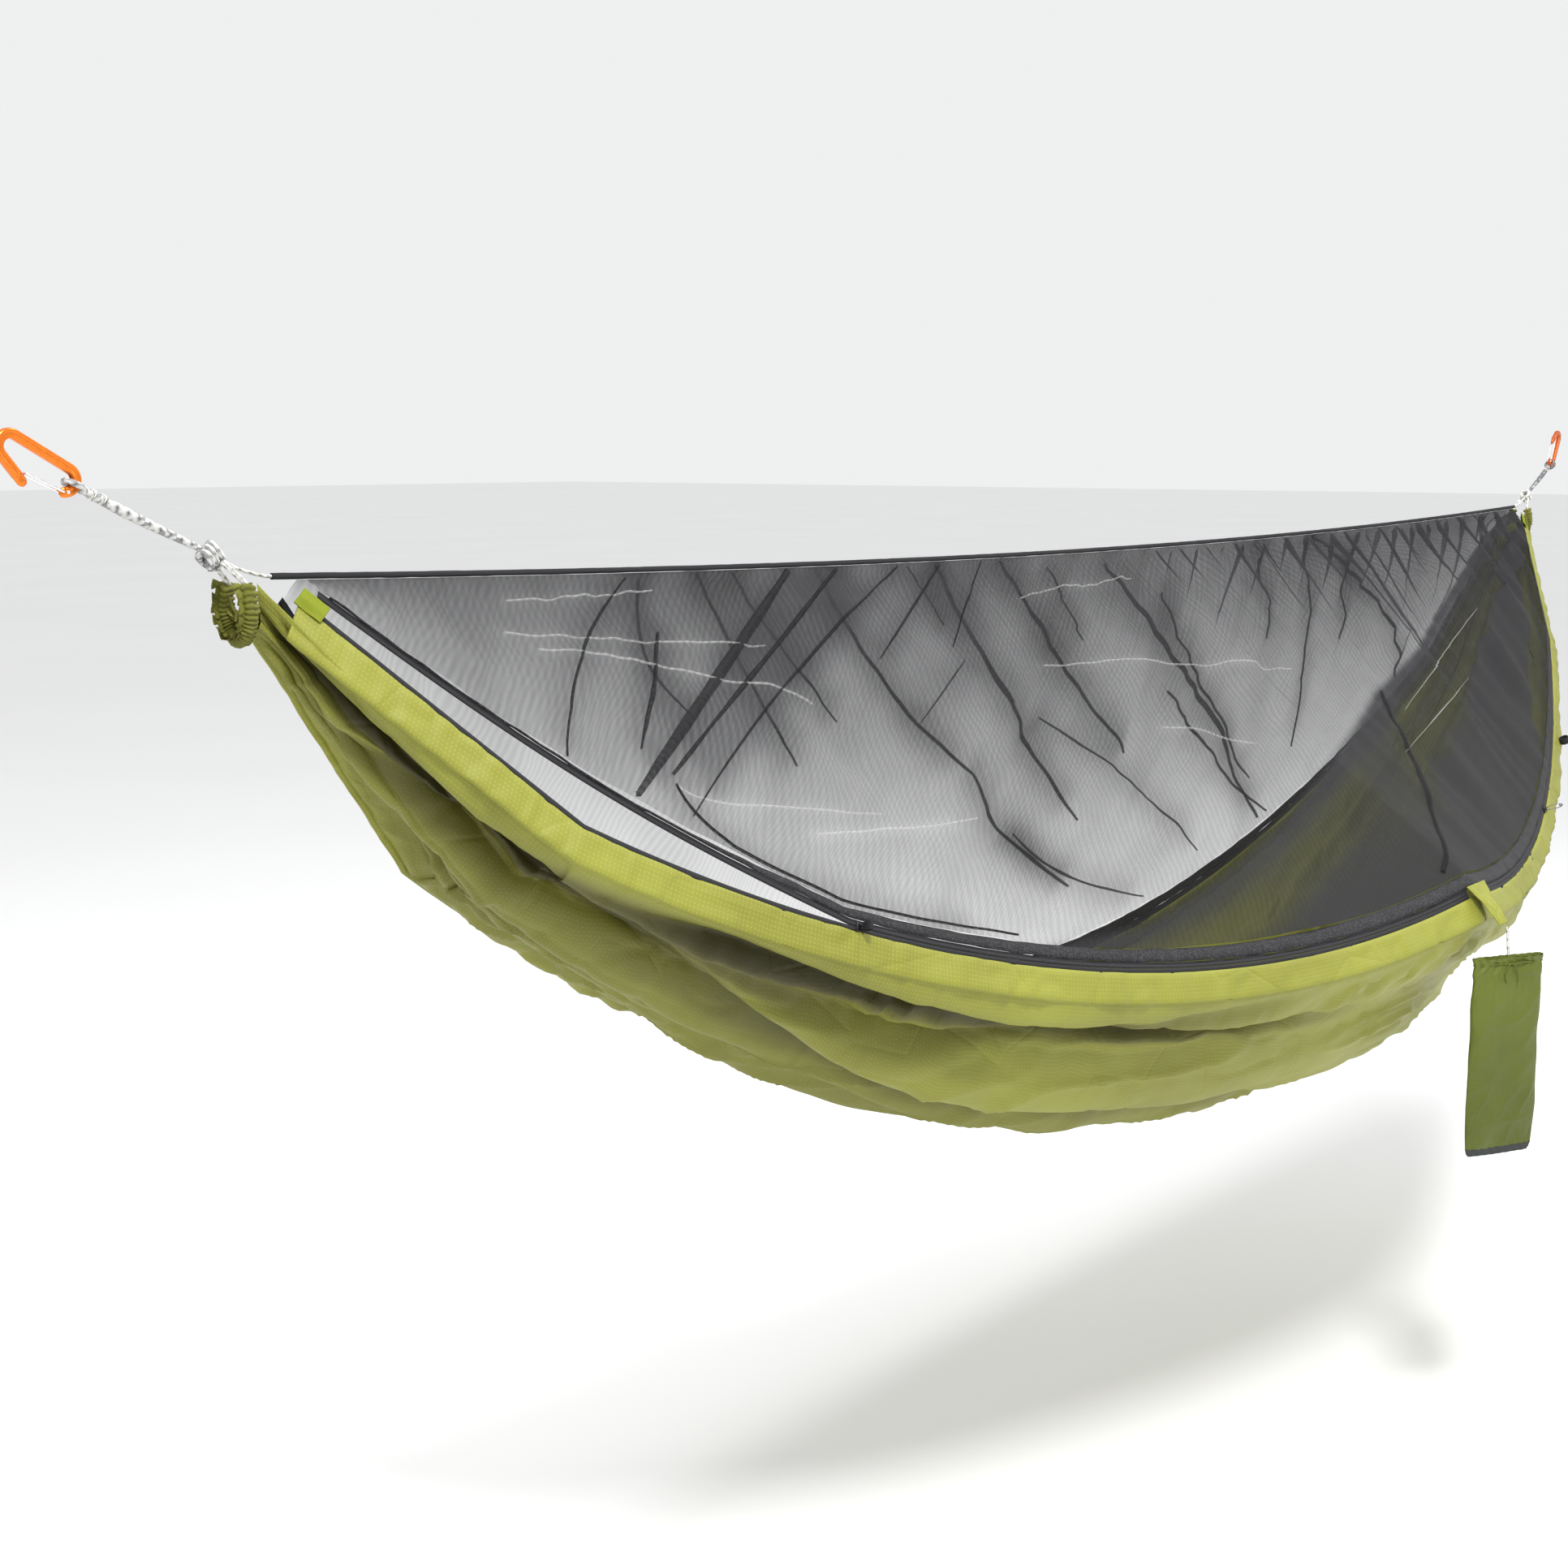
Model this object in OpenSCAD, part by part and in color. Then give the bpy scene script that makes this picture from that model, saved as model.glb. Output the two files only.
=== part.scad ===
// Camping hammock with a zip-on insect net, hung between two wire-gate carabiners.
// Millimetres. +X runs from the left hang point to the right one, -Y is the near rim's side,
// +Z is up. The origin is the seat of the left carabiner, where it hangs from its anchor.

/* [Hammock] */
// Length of the net's ridge, from gather to gather
ridge_len = 2700; // [2690:1:2710]
// Sag of the ridge at its middle
ridge_sag = 25; // [10:1:60]
// Extra depth of the cloth's belly, as a share of the depth of its rims
belly = 0.1; // [0.08:0.01:0.2]
// Thickness of the solid that stands for the folded cloth
cloth_t = 4; // [3:1:8]
// Width of the folded hem along each rim
hem_w = 24; // [18:1:30]

/* [Suspension] */
// Length of each spliced rope, from knot to carabiner
rope_len = 125; // [110:1:150]
// Rise of both ropes above the level, in degrees
rope_rise = 25; // [15:1:35]
// Diameter of one strand of the rope
strand_d = 5; // [4:0.5:6]
// Distance from the gathered end to the knot
knot_gap = 50; // [40:1:60]
// Height of the knot above the ridge
knot_rise = 20; // [10:1:30]

/* [Carabiners] */
// Diameter of the carabiner's bar
bar_d = 8; // [7:0.5:8]
// Rise of the left carabiner above the level, in degrees
left_rise = 30; // [20:1:40]
// Rise of the right carabiner above the level, in degrees
right_rise = 60; // [50:1:70]
// Diameter of the gate's wire
wire_d = 1.8; // [1.6:0.1:2]

/* [Zips] */
// Place of the left zip's slider, as a share of the way to the middle
left_slider_at = 0.24; // [0.2:0.01:0.32]
// Place of the right zip's slider, as a share of the way to the middle
right_slider_at = 0.5; // [0.4:0.01:0.6]
// Place of the far zip's slider, as a share of the far rim
far_slider_at = 0.53; // [0.4:0.01:0.6]

/* [Stuff sack] */
// Width of the empty sack
sack_w = 98; // [80:1:110]
// Height of the sack below its tether
sack_h = 240; // [200:1:260]
// Turn of the sack about the vertical, in degrees
sack_turn = -30; // [-40:1:-10]

/* [Hidden] */
$fn = 32;

GREEN = "yellowgreen";
BLACK = "dimgray";
bar_r = bar_d / 2;
mid_x = ridge_len / 2;

// Carabiner outline: both ends bend about a centre on the load line.
bend_r = 9;
small_end = [9, 9];
hang_end = [9, 57];
leg_turn = 22;
leg_len = 25;
gate_turn = -15;
hang_seat = [9, hang_end[1] + bend_r - bar_r];
seat_gap = hang_end[1] - small_end[1] + 2 * bend_r;
leg_top = hang_end + bend_r * [cos(leg_turn), sin(leg_turn)];
nose = leg_top + leg_len * [sin(leg_turn), -cos(leg_turn)];
mid_spine = (small_end[1] + hang_end[1]) / 2;
groove = 0.3;
hinge = small_end + bend_r * [cos(gate_turn), sin(gate_turn)];
pin_r = wire_d / 2 + 0.15;
tongue_t = 4.2;
wire_z = tongue_t / 2 + 0.4 + wire_d / 2;

// Frame of the hammock: its origin is the left end of the ridge.
eye_reach = seat_gap - bar_r;
left_eye = eye_reach * [cos(left_rise), 0, -sin(left_rise)];
ridge_x = left_eye[0] + rope_len * cos(rope_rise) + knot_gap;
ridge_z = left_eye[2] - rope_len * sin(rope_rise) - knot_rise;
right_eye = [2 * ridge_x + ridge_len - left_eye[0], 0, left_eye[2]];
right_seat = right_eye + eye_reach * [cos(right_rise), 0, sin(right_rise)];

// Rims: each is a flat arc. The near rim is two arcs that meet at its middle corner.
near_end = [207, -145, -212];
near_corner = [mid_x, -475, -413];
near_centre = [1186, 174, 1210];
far_end = [207, 58, -249];
far_centre = [mid_x, -301, 1272];
near_r = norm(near_end - near_centre);
far_r = norm(far_end - far_centre);
rim_start = [14, -15, -12];
far_start = [14, 13, -12];

// Zip, from its middle line outwards
coil_w = 3.2;
coil_t = 2.4;
tape_w = 14;
tape_t = 1.2;
coil_gap = 0.2;
strip_w = 18;
slider_len = 12;
garage_len = 26;

// Stuff sack
tether_top = near_corner + [0, -39, -38];
tether_len = 34;
sack_top = tether_top + [0, -4, -tether_len];
sack_t = 20;
collar_h = 28;
panel_h = 9;

function mix(a, b, t) = a + (b - a) * t;
function unit(v) = v / norm(v);
function mirrored(p) = [ridge_len - p[0], p[1], p[2]];
function angle_of(a, b) = acos(unit(a) * unit(b));

// A point on the arc about c from a to b, at share v of its angle
function on_arc(c, a, b, v) =
    let (w = angle_of(a - c, b - c))
    c + (sin((1 - v) * w) * (a - c) + sin(v * w) * (b - c)) / sin(w);

// Rim places: side 0 is the near rim's left half, side 1 is the far rim.
function rim_c(side) = side == 0 ? near_centre : far_centre;
function rim_a(side) = side == 0 ? near_end : far_end;
function rim_b(side) = side == 0 ? near_corner : mirrored(far_end);
function rim_out(side, v) =
    unit(on_arc(rim_c(side), rim_a(side), rim_b(side), min(max(v, 0), 1)) - rim_c(side));
function rim_normal(side) =
    unit(cross(rim_a(side) - rim_c(side), rim_b(side) - rim_c(side)));
function rim_point(side, v) =
    v < 0 ? mix(rim_a(side), side == 0 ? rim_start : far_start, -v)
    : v > 1 ? mix(rim_b(side), mirrored(far_start), v - 1)
    : on_arc(rim_c(side), rim_a(side), rim_b(side), v);
function rim_at(side, v, out, up) =
    rim_point(side, v) + out * rim_out(side, v) + up * rim_normal(side);

// Cloth: rings across the hammock, u from its left end to its right, w from near rim to far rim
body_out = tape_w + hem_w;
function near_body(u) =
    u <= 0.5 ? rim_at(0, 2 * u, body_out, 0) : mirrored(rim_at(0, 2 - 2 * u, body_out, 0));
function far_body(u) = rim_at(1, u, body_out, 0);
function tilt(p) = atan2(-p[1], -p[2]);
function depth(p) = norm([p[1], p[2]]);
function cloth_point(n, f, k, w, top_z) =
    let (a = mix(tilt(n), tilt(f), w))
    let (r = mix(depth(n), depth(f), w) * (1 + k * (1 - pow(2 * w - 1, 2))))
    [mix(n[0], f[0], w), -r * sin(a), top_z - r * cos(a)];
function cloth_inward(n, f, w) =
    let (a = mix(tilt(n), tilt(f), w))
    [0, cloth_t * sin(a), cloth_t * cos(a)];
gather_n = [-26, -12, -20];
gather_f = [-26, 12, -20];
function gather_point(w) = cloth_point(gather_n, gather_f, 1.7, w, 16);

// Net: its lower edge leaves the rim where the left zip is open.
open_to = left_slider_at - 0.01;
function net_base(v) =
    v >= open_to ? rim_point(0, v)
    : mix(rim_start + [0, 0, 10], rim_point(0, open_to), (v + 1) / (open_to + 1));
function net_low(v) = net_base(v) - tape_w * rim_out(0, max(v, open_to));
function ridge_at(x) = [x, 0, -ridge_sag * (1 - pow((x - mid_x) / mid_x, 2))];
function net_near_low(s) = s <= 1 ? net_low(s) : mirrored(rim_at(0, 2 - s, -tape_w, 0));
function net_top(p) = ridge_at(p[0]) - [0, 0, 5.8];

// A closed solid from rows of points and the offset vector of each
module sheet(rows, offs) {
    m = len(rows);
    n = len(rows[0]);
    flat = [for (i = [0 : m - 1]) for (j = [0 : n - 1]) rows[i][j]];
    lifted = [for (i = [0 : m - 1]) for (j = [0 : n - 1]) rows[i][j] + offs[i][j]];
    k = m * n;
    tops = [for (i = [0 : m - 2]) for (j = [0 : n - 2])
        [k + i * n + j, k + i * n + j + 1, k + (i + 1) * n + j + 1, k + (i + 1) * n + j]];
    lows = [for (i = [0 : m - 2]) for (j = [0 : n - 2])
        [i * n + j, (i + 1) * n + j, (i + 1) * n + j + 1, i * n + j + 1]];
    starts = [for (j = [0 : n - 2]) [j, j + 1, k + j + 1, k + j]];
    ends = [for (j = [0 : n - 2])
        [(m - 1) * n + j + 1, (m - 1) * n + j, k + (m - 1) * n + j, k + (m - 1) * n + j + 1]];
    lefts = [for (i = [0 : m - 2]) [(i + 1) * n, i * n, k + i * n, k + (i + 1) * n]];
    rights = [for (i = [0 : m - 2])
        [i * n + n - 1, (i + 1) * n + n - 1, k + (i + 1) * n + n - 1, k + i * n + n - 1]];
    faces = concat(tops, lows, starts, ends, lefts, rights);
    polyhedron(concat(flat, lifted), [for (f = faces) each [[f[0], f[1], f[2]], [f[0], f[2], f[3]]]]);
}

// A tube along points; a bore above 0 leaves it hollow
module tube(path, r, bore, sides, up) {
    n = len(path);
    radii = bore > 0 ? [r, bore] : [r];
    rings = [for (q = radii) for (i = [0 : n - 1])
        let (t = unit(path[min(i + 1, n - 1)] - path[max(i - 1, 0)]))
        let (a = unit(cross(t, up)))
        let (b = cross(a, t))
        for (j = [0 : sides - 1])
            path[i] + q * (cos(360 * j / sides) * a + sin(360 * j / sides) * b)];
    k = n * sides;
    skin = [for (i = [0 : n - 2]) for (j = [0 : sides - 1])
        let (j2 = (j + 1) % sides)
        [i * sides + j, i * sides + j2, (i + 1) * sides + j2, (i + 1) * sides + j]];
    wall = [for (f = skin) [f[3] + k, f[2] + k, f[1] + k, f[0] + k]];
    last = (n - 1) * sides;
    solid_caps = [[for (j = [0 : sides - 1]) sides - 1 - j], [for (j = [0 : sides - 1]) last + j]];
    bored_caps = [for (j = [0 : sides - 1]) let (j2 = (j + 1) % sides)
        each [[j, k + j, k + j2, j2], [last + j, last + j2, k + last + j2, k + last + j]]];
    polyhedron(rings, bore > 0 ? concat(skin, wall, bored_caps) : concat(skin, solid_caps));
}

// A round rod between two points of the carabiner's own plane
module rod(a, b, r, z) {
    d = b - a;
    translate([a[0], a[1], z])
        rotate([0, 0, atan2(d[1], d[0])])
            rotate([0, 90, 0])
                cylinder(h = norm(d), r = r);
}

// The bar's line from nose to hinge, each point with its flatness: 0 is the full bar, 1 a tongue
function bend(c, a0, a1, n) =
    [for (i = [1 : n - 1]) let (a = mix(a0, a1, i / n))
        [c[0] + bend_r * cos(a), c[1] + bend_r * sin(a), max(0, min(1, (a - 310) / 15))]];
function with_flat(p, flat) = [p[0], p[1], flat];
bar_line = concat(
    [for (q = [[1.11, 1], [1.06, 1], [0.94, 1], [0.8, 1], [0.7, 0], [0.35, 0], [0, 0]])
        with_flat(mix(leg_top, nose, q[0]), q[1])],
    bend(hang_end, leg_turn, 180, 14),
    [[0, hang_end[1], 0], [0, mid_spine, 0], [0, small_end[1], 0]],
    bend(small_end, 180, 357, 18));

// Section of the forged bar: oval, with a groove along both faces
function bar_ring(i) =
    let (n = len(bar_line))
    let (p = bar_line[i])
    let (d = bar_line[min(i + 1, n - 1)] - bar_line[max(i - 1, 0)])
    let (t = unit([d[0], d[1]]))
    let (half = mix(bar_r, tongue_t / 2, p[2]))
    let (wide = i == 0 || i == n - 1 ? bar_r * 0.5 : bar_r)
    [for (j = [0 : 15])
        let (c = cos(22.5 * j) * wide)
        let (dip = j % 8 == 4 ? 1 - groove * (1 - p[2]) : 1)
        [p[0] + t[1] * c, p[1] - t[0] * c, sin(22.5 * j) * half * dip]];

module carabiner_body() {
    color("darkorange")
        difference() {
            loft([for (i = [0 : len(bar_line) - 1]) bar_ring(i)]);
            translate([hinge[0], hinge[1], -10])
                cylinder(h = 20, r = pin_r + 0.35);
        }
}

module gate_body() {
    dir = unit(nose - hinge);
    side = [-dir[1], dir[0]];
    catch = nose + (bar_r + 1.1 + pin_r) * side - 0.6 * dir;
    color("silver") {
        for (z = [-wire_z, wire_z])
            rod(hinge, catch, wire_d / 2, z);
        for (p = [hinge, catch])
            translate([p[0], p[1], -wire_z - wire_d / 2 - 0.3])
                cylinder(h = 2 * wire_z + wire_d + 0.6, r = pin_r);
    }
}

module on_left() {
    rotate([0, 90 + left_rise, 0])
        rotate([-90, 0, 0])
            translate([-hang_seat[0], -hang_seat[1], 0])
                children();
}

module on_right() {
    translate(right_seat)
        rotate([0, 270 - right_rise, 0])
            rotate([-90, 0, 0])
                translate([-hang_seat[0], -hang_seat[1], 0])
                    children();
}

module in_hammock() {
    translate([ridge_x, 0, ridge_z])
        children();
}

module at_right() {
    translate([ridge_len, 0, 0])
        mirror([1, 0, 0])
            children();
}

// A spliced rope: its eye round the carabiner's bar, and its tapered splice down to the knot
module suspension_rope(eye_lean) {
    color("lightgray")
        translate([-knot_gap, 0, knot_rise])
            rotate([0, rope_rise - 90, 0]) {
                cylinder(h = rope_len - 40, r1 = strand_d / 2, r2 = strand_d * 0.85);
                translate([0, 0, rope_len - 40])
                    cylinder(h = 32, r1 = strand_d * 0.85, r2 = strand_d * 0.55);
                translate([0, 0, rope_len])
                    rotate([0, eye_lean, 0])
                        rotate([0, 90, 0])
                            rotate_extrude(convexity = 4)
                                translate([7.8, 0])
                                    circle(r = strand_d / 2 - 0.1, $fn = 24);
            }
}

module choker_knot() {
    color("gainsboro")
        translate([-knot_gap, 0, knot_rise - 2])
            rotate([0, 55, 0])
                for (z = [-5, 0, 5])
                    translate([0, 0, z])
                        rotate_extrude()
                            translate([6.5, 0])
                                circle(r = strand_d / 2 + 0.4, $fn = 24);
}

module gather_cord() {
    color("gainsboro")
        tube(concat([[-knot_gap + 8, -6, knot_rise - 8]],
                    [for (i = [0 : 16]) gather_point(i / 16) - [0, 0, 2]],
                    [[-knot_gap + 8, 6, knot_rise - 8]]),
             strand_d / 2 - 0.2, 0, 8, [1, 0, 0.2]);
}

module end_channel() {
    color(GREEN)
        tube([for (i = [0 : 16]) gather_point(i / 16) - [0, 0, 2]], 8, strand_d / 2 + 0.4, 12,
             [1, 0, 0.2]);
}

module body_fabric() {
    us = [for (i = [0 : 34]) i / 34];
    ws = [for (j = [0 : 14]) j / 14];
    first = [for (w = ws) gather_point(w) + [9, 0, 0]];
    ramp = [for (w = ws)
        mix(gather_point(w) + [9, 0, 0], cloth_point(near_body(0), far_body(0), belly, w, 0), 0.5)
        - [0, 0, 4]];
    middle = [for (u = us) [for (w = ws) cloth_point(near_body(u), far_body(u), belly, w, 0)]];
    in_first = [for (w = ws) [0.5, cloth_inward(gather_n, gather_f, w)[1], cloth_t]];
    in_middle = [for (u = us) [for (w = ws) cloth_inward(near_body(u), far_body(u), w)]];
    flip = function (row) [for (p = row) mirrored(p)];
    color(GREEN)
        sheet(concat([first, ramp], middle, [flip(ramp), flip(first)]),
              concat([in_first, in_first], in_middle, [in_first, in_first]));
}

// A band along a rim, between two distances out from the zip's middle line
module band(side, vs, from, to, low, t) {
    n = rim_normal(side);
    sheet([for (v = vs) [rim_at(side, v, from, low), rim_at(side, v, to, low)]],
          [for (v = vs) [n * t, n * t]]);
}

function steps(a, b, n) = [for (i = [0 : n]) a + (b - a) * i / n];
near_vs = concat(steps(-0.95, 0, 4), steps(0.03, 0.985, 30));
far_vs = concat(steps(-0.95, 0, 4), steps(0.02, 0.98, 46), steps(1, 1.95, 4));

module rim_hem(side, vs) {
    color(GREEN)
        band(side, vs, tape_w + 0.3, tape_w + hem_w - 0.5, -2.5, 5);
}

// Half a zip in section: the coil beside the middle line, and its tape; d is +1 out, -1 in
function zip_section(d) =
    let (c = coil_gap + coil_w)
    [[d * coil_gap, -coil_t / 2], [d * c, -coil_t / 2], [d * c, -tape_t / 2],
     [d * tape_w, -tape_t / 2], [d * tape_w, tape_t / 2], [d * c, tape_t / 2],
     [d * c, coil_t / 2], [d * coil_gap, coil_t / 2]];

// One closed solid from rings of points
module loft(rings) {
    m = len(rings);
    n = len(rings[0]);
    skin = [for (i = [0 : m - 2]) for (j = [0 : n - 1])
        let (j2 = (j + 1) % n)
        each [[i * n + j, i * n + j2, (i + 1) * n + j2],
              [i * n + j, (i + 1) * n + j2, (i + 1) * n + j]]];
    caps = [[for (j = [0 : n - 1]) n - 1 - j], [for (j = [0 : n - 1]) (m - 1) * n + j]];
    polyhedron([for (r = rings) each r], concat(skin, caps));
}

module zip_half(side, vs, d) {
    section = d > 0 ? zip_section(1) : [for (i = [7 : -1 : 0]) zip_section(-1)[i]];
    color(BLACK)
        loft([for (v = vs) [for (q = section) rim_at(side, v, q[0], q[1])]]);
}

// The left zip's net side: zipped beyond the slider, hanging free before it
net_side_vs = concat(steps(-0.91, 0, 4), steps(0.03, open_to, 7), steps(open_to + 0.03, 0.985, 23));
module zip_left_net() {
    section = [for (i = [7 : -1 : 0]) zip_section(-1)[i]];
    color(BLACK)
        loft([for (v = net_side_vs) [for (q = section)
            net_base(v) + q[0] * rim_out(0, max(v, open_to)) + q[1] * rim_normal(0)]]);
}

module net_strip(points, n) {
    color(BLACK)
        sheet([for (p = points) [p + [0, 2, 8], mix(p + [0, 2, 8], net_top(p), strip_w / 400)]],
              [for (p = points) [n * 1.2, n * 1.2]]);
}

module net_sheet(points, n) {
    color("gray")
        sheet([for (p = points) [for (j = [0 : 3])
                  mix(mix(p + [0, 2, 8], net_top(p), strip_w / 400 + 0.01), net_top(p), j / 3)]],
              [for (p = points) [for (j = [0 : 3]) n * 2]]);
}

near_net_points = [for (s = concat(steps(-0.9, left_slider_at, 12), steps(left_slider_at + 0.04, 1, 12),
                                     steps(1.05, 2.9, 24)))
    net_near_low(s)];
far_net_points = [for (v = far_vs) rim_at(1, v, -tape_w, 0)];
near_net_n = unit([0, -0.65, 0.755]);
far_net_n = unit([0, 0.97, 0.24]);

// A slider rides on the outer face of the coil, 0.4 mm clear of it.
module slider_body() {
    color(BLACK)
        difference() {
            union() {
                translate([-5, -slider_len / 2, 1.6])
                    cube([10, slider_len, 1.6]);
                for (x = [-5, 3.8])
                    translate([x, -slider_len / 2, 1.1])
                        cube([1.2, slider_len, 1]);
                translate([-2, -2.5, 3])
                    cube([4, 5, 2.6]);
            }
            translate([-5, 0, 4.2])
                rotate([0, 90, 0])
                    cylinder(h = 10, r = 0.8);
        }
}

module on_rim(side, v) {
    c = rim_c(side);
    x = rim_out(side, v);
    z = rim_normal(side);
    y = cross(z, x);
    multmatrix([[x[0], y[0], z[0], rim_point(side, v)[0]],
                [x[1], y[1], z[1], rim_point(side, v)[1]],
                [x[2], y[2], z[2], rim_point(side, v)[2]],
                [0, 0, 0, 1]])
        children();
}

// A loop that swings on the slider's eye: its pin, two legs and top
module pull(leg_w, leg_t, tall) {
    color(BLACK)
        translate([0, 0, 4.2]) {
            translate([-4.6, 0, 0])
                rotate([0, 90, 0])
                    cylinder(h = 9.2, r = 0.45);
            for (x = [-4.6, 4.6 - leg_w])
                translate([x, -leg_t / 2, -0.3])
                    cube([leg_w, leg_t, tall]);
            translate([-4.6, -leg_t / 2, tall - 1.7])
                cube([9.2, leg_t, 1.4]);
        }
}

module gear_loop() {
    color(BLACK)
        translate([tape_w + hem_w / 2 - 5, 0, 3.4])
            rotate([0, 90, 0])
                linear_extrude(height = 10)
                    difference() {
                        translate([-7, 0])
                            circle(r = 7.8);
                        translate([-7, 0])
                            circle(r = 6);
                    }
}

module zip_garage() {
    p = mix(rim_start, near_end, 0.02);
    x = unit(near_end - rim_start);
    n = rim_normal(0);
    y = cross(n, x);
    color("greenyellow")
        sheet([[p - 12 * y + 1.6 * n, p + 12 * y + 1.6 * n],
               [p + garage_len * x - 12 * y + 1.6 * n, p + garage_len * x + 12 * y + 1.6 * n]],
              [[n * 2, n * 2], [n * 2, n * 2]]);
}

// The hem's dart where the two near zips meet and the sack is tied
module corner_dart() {
    color(GREEN)
        translate(near_corner + [0, -3.4, 4])
            rotate([50, 0, 0])
                linear_extrude(height = 4, center = true)
                    polygon([[-26, 6], [26, 6], [9, -50], [-9, -50]]);
}

module ridge_cord() {
    color("gainsboro")
        tube([for (x = steps(2, ridge_len - 2, 28)) ridge_at(x)], 1.5, 0, 8, [0, 0, 1]);
}

module ridge_channel() {
    color(BLACK)
        tube([for (x = steps(6, ridge_len - 6, 28)) ridge_at(x)], 3.6, 1.8, 8, [0, 0, 1]);
}

module ridge_tie() {
    color("gainsboro")
        tube([[-knot_gap + 4, 0, knot_rise - 2], [-30, 0, 9], [-12, 0, 3], [1, 0, 0]],
             1.5, 0, 8, [0, 1, 0]);
}

module sack_tether() {
    color("ivory")
        tube([tether_top, mix(tether_top, sack_top, 0.35), mix(tether_top, sack_top, 0.7),
              sack_top + [0, 0, 2]], 1.5, 0, 8, [1, 0, 0]);
}

// The sack's flat oval outline
module oval(w, t) {
    intersection() {
        square([w, t], center = true);
        union() {
            square([w - t, t], center = true);
            for (x = [-(w - t) / 2, (w - t) / 2])
                translate([x, 0])
                    circle(d = t);
        }
    }
}

module at_sack(z) {
    translate(sack_top + [0, 0, z])
        rotate([0, 0, sack_turn])
            children();
}

module sack_collar() {
    color("olivedrab")
        at_sack(-collar_h)
            difference() {
                linear_extrude(height = collar_h)
                    oval(sack_w + 2, sack_t - 6);
                translate([0, 0, 6])
                    linear_extrude(height = collar_h)
                        oval(sack_w - 4, sack_t - 12);
            }
}

module sack_drawcord() {
    color("olivedrab")
        at_sack(-9)
            linear_extrude(height = 2)
                difference() {
                    oval(sack_w + 6.6, sack_t - 1.4);
                    oval(sack_w + 2.6, sack_t - 5.4);
                }
}

module stuff_sack() {
    color("olivedrab")
        at_sack(-sack_h + panel_h)
            linear_extrude(height = sack_h - panel_h - collar_h - 0.3)
                oval(sack_w, sack_t);
}

module sack_bottom() {
    color("darkslategray")
        at_sack(-sack_h)
            linear_extrude(height = panel_h - 0.3)
                oval(sack_w - 2, sack_t);
}

on_left() carabiner_body();  // carabiner_left
on_right() carabiner_body();  // carabiner_right
on_left() gate_body();  // wire_gate_left
on_right() gate_body();  // wire_gate_right
in_hammock() suspension_rope(left_rise - rope_rise);  // suspension_rope_left
in_hammock() at_right() suspension_rope(right_rise - rope_rise);  // suspension_rope_right
in_hammock() choker_knot();  // choker_knot_left
in_hammock() at_right() choker_knot();  // choker_knot_right
in_hammock() gather_cord();  // gather_cord_left
in_hammock() at_right() gather_cord();  // gather_cord_right
in_hammock() end_channel();  // end_channel_left
in_hammock() at_right() end_channel();  // end_channel_right
in_hammock() body_fabric();
in_hammock() rim_hem(0, near_vs);  // rim_hem_near_left
in_hammock() at_right() rim_hem(0, near_vs);  // rim_hem_near_right
in_hammock() rim_hem(1, far_vs);  // rim_hem_far
in_hammock() corner_dart();
in_hammock() ridge_cord();
in_hammock() ridge_channel();
in_hammock() ridge_tie();  // ridge_tie_left
in_hammock() at_right() ridge_tie();  // ridge_tie_right
in_hammock() net_sheet(near_net_points, near_net_n);  // net_near
in_hammock() net_sheet(far_net_points, far_net_n);  // net_far
in_hammock() net_strip(near_net_points, near_net_n);  // net_edge_strip_near
in_hammock() net_strip(far_net_points, far_net_n);  // net_edge_strip_far
in_hammock() zip_half(0, near_vs, 1);  // zip_tape_left_body
in_hammock() zip_left_net();  // zip_tape_left_net
in_hammock() at_right() zip_half(0, near_vs, 1);  // zip_tape_right_body
in_hammock() at_right() zip_half(0, near_vs, -1);  // zip_tape_right_net
in_hammock() zip_half(1, far_vs, 1);  // zip_tape_far_body
in_hammock() zip_half(1, far_vs, -1);  // zip_tape_far_net
in_hammock() zip_garage();  // zip_garage_left
in_hammock() at_right() zip_garage();  // zip_garage_right
in_hammock() on_rim(0, left_slider_at) slider_body();  // zip_slider_left
in_hammock() at_right() on_rim(0, right_slider_at) slider_body();  // zip_slider_right
in_hammock() on_rim(1, far_slider_at) slider_body();  // zip_slider_far
in_hammock() on_rim(0, left_slider_at) pull(1.6, 1.6, 15);  // pull_loop_left
in_hammock() at_right() on_rim(0, right_slider_at) pull(1.2, 1.2, 24);  // pull_cord_right
in_hammock() on_rim(1, far_slider_at) pull(1.6, 1.6, 18);  // pull_loop_far
in_hammock() at_right() on_rim(0, 0.24) gear_loop();
in_hammock() sack_tether();
in_hammock() sack_drawcord();
in_hammock() sack_collar();
in_hammock() stuff_sack();
in_hammock() sack_bottom();
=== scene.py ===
"""The hammock's looks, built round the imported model. Metres, in the model's own frame."""

import math

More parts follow.
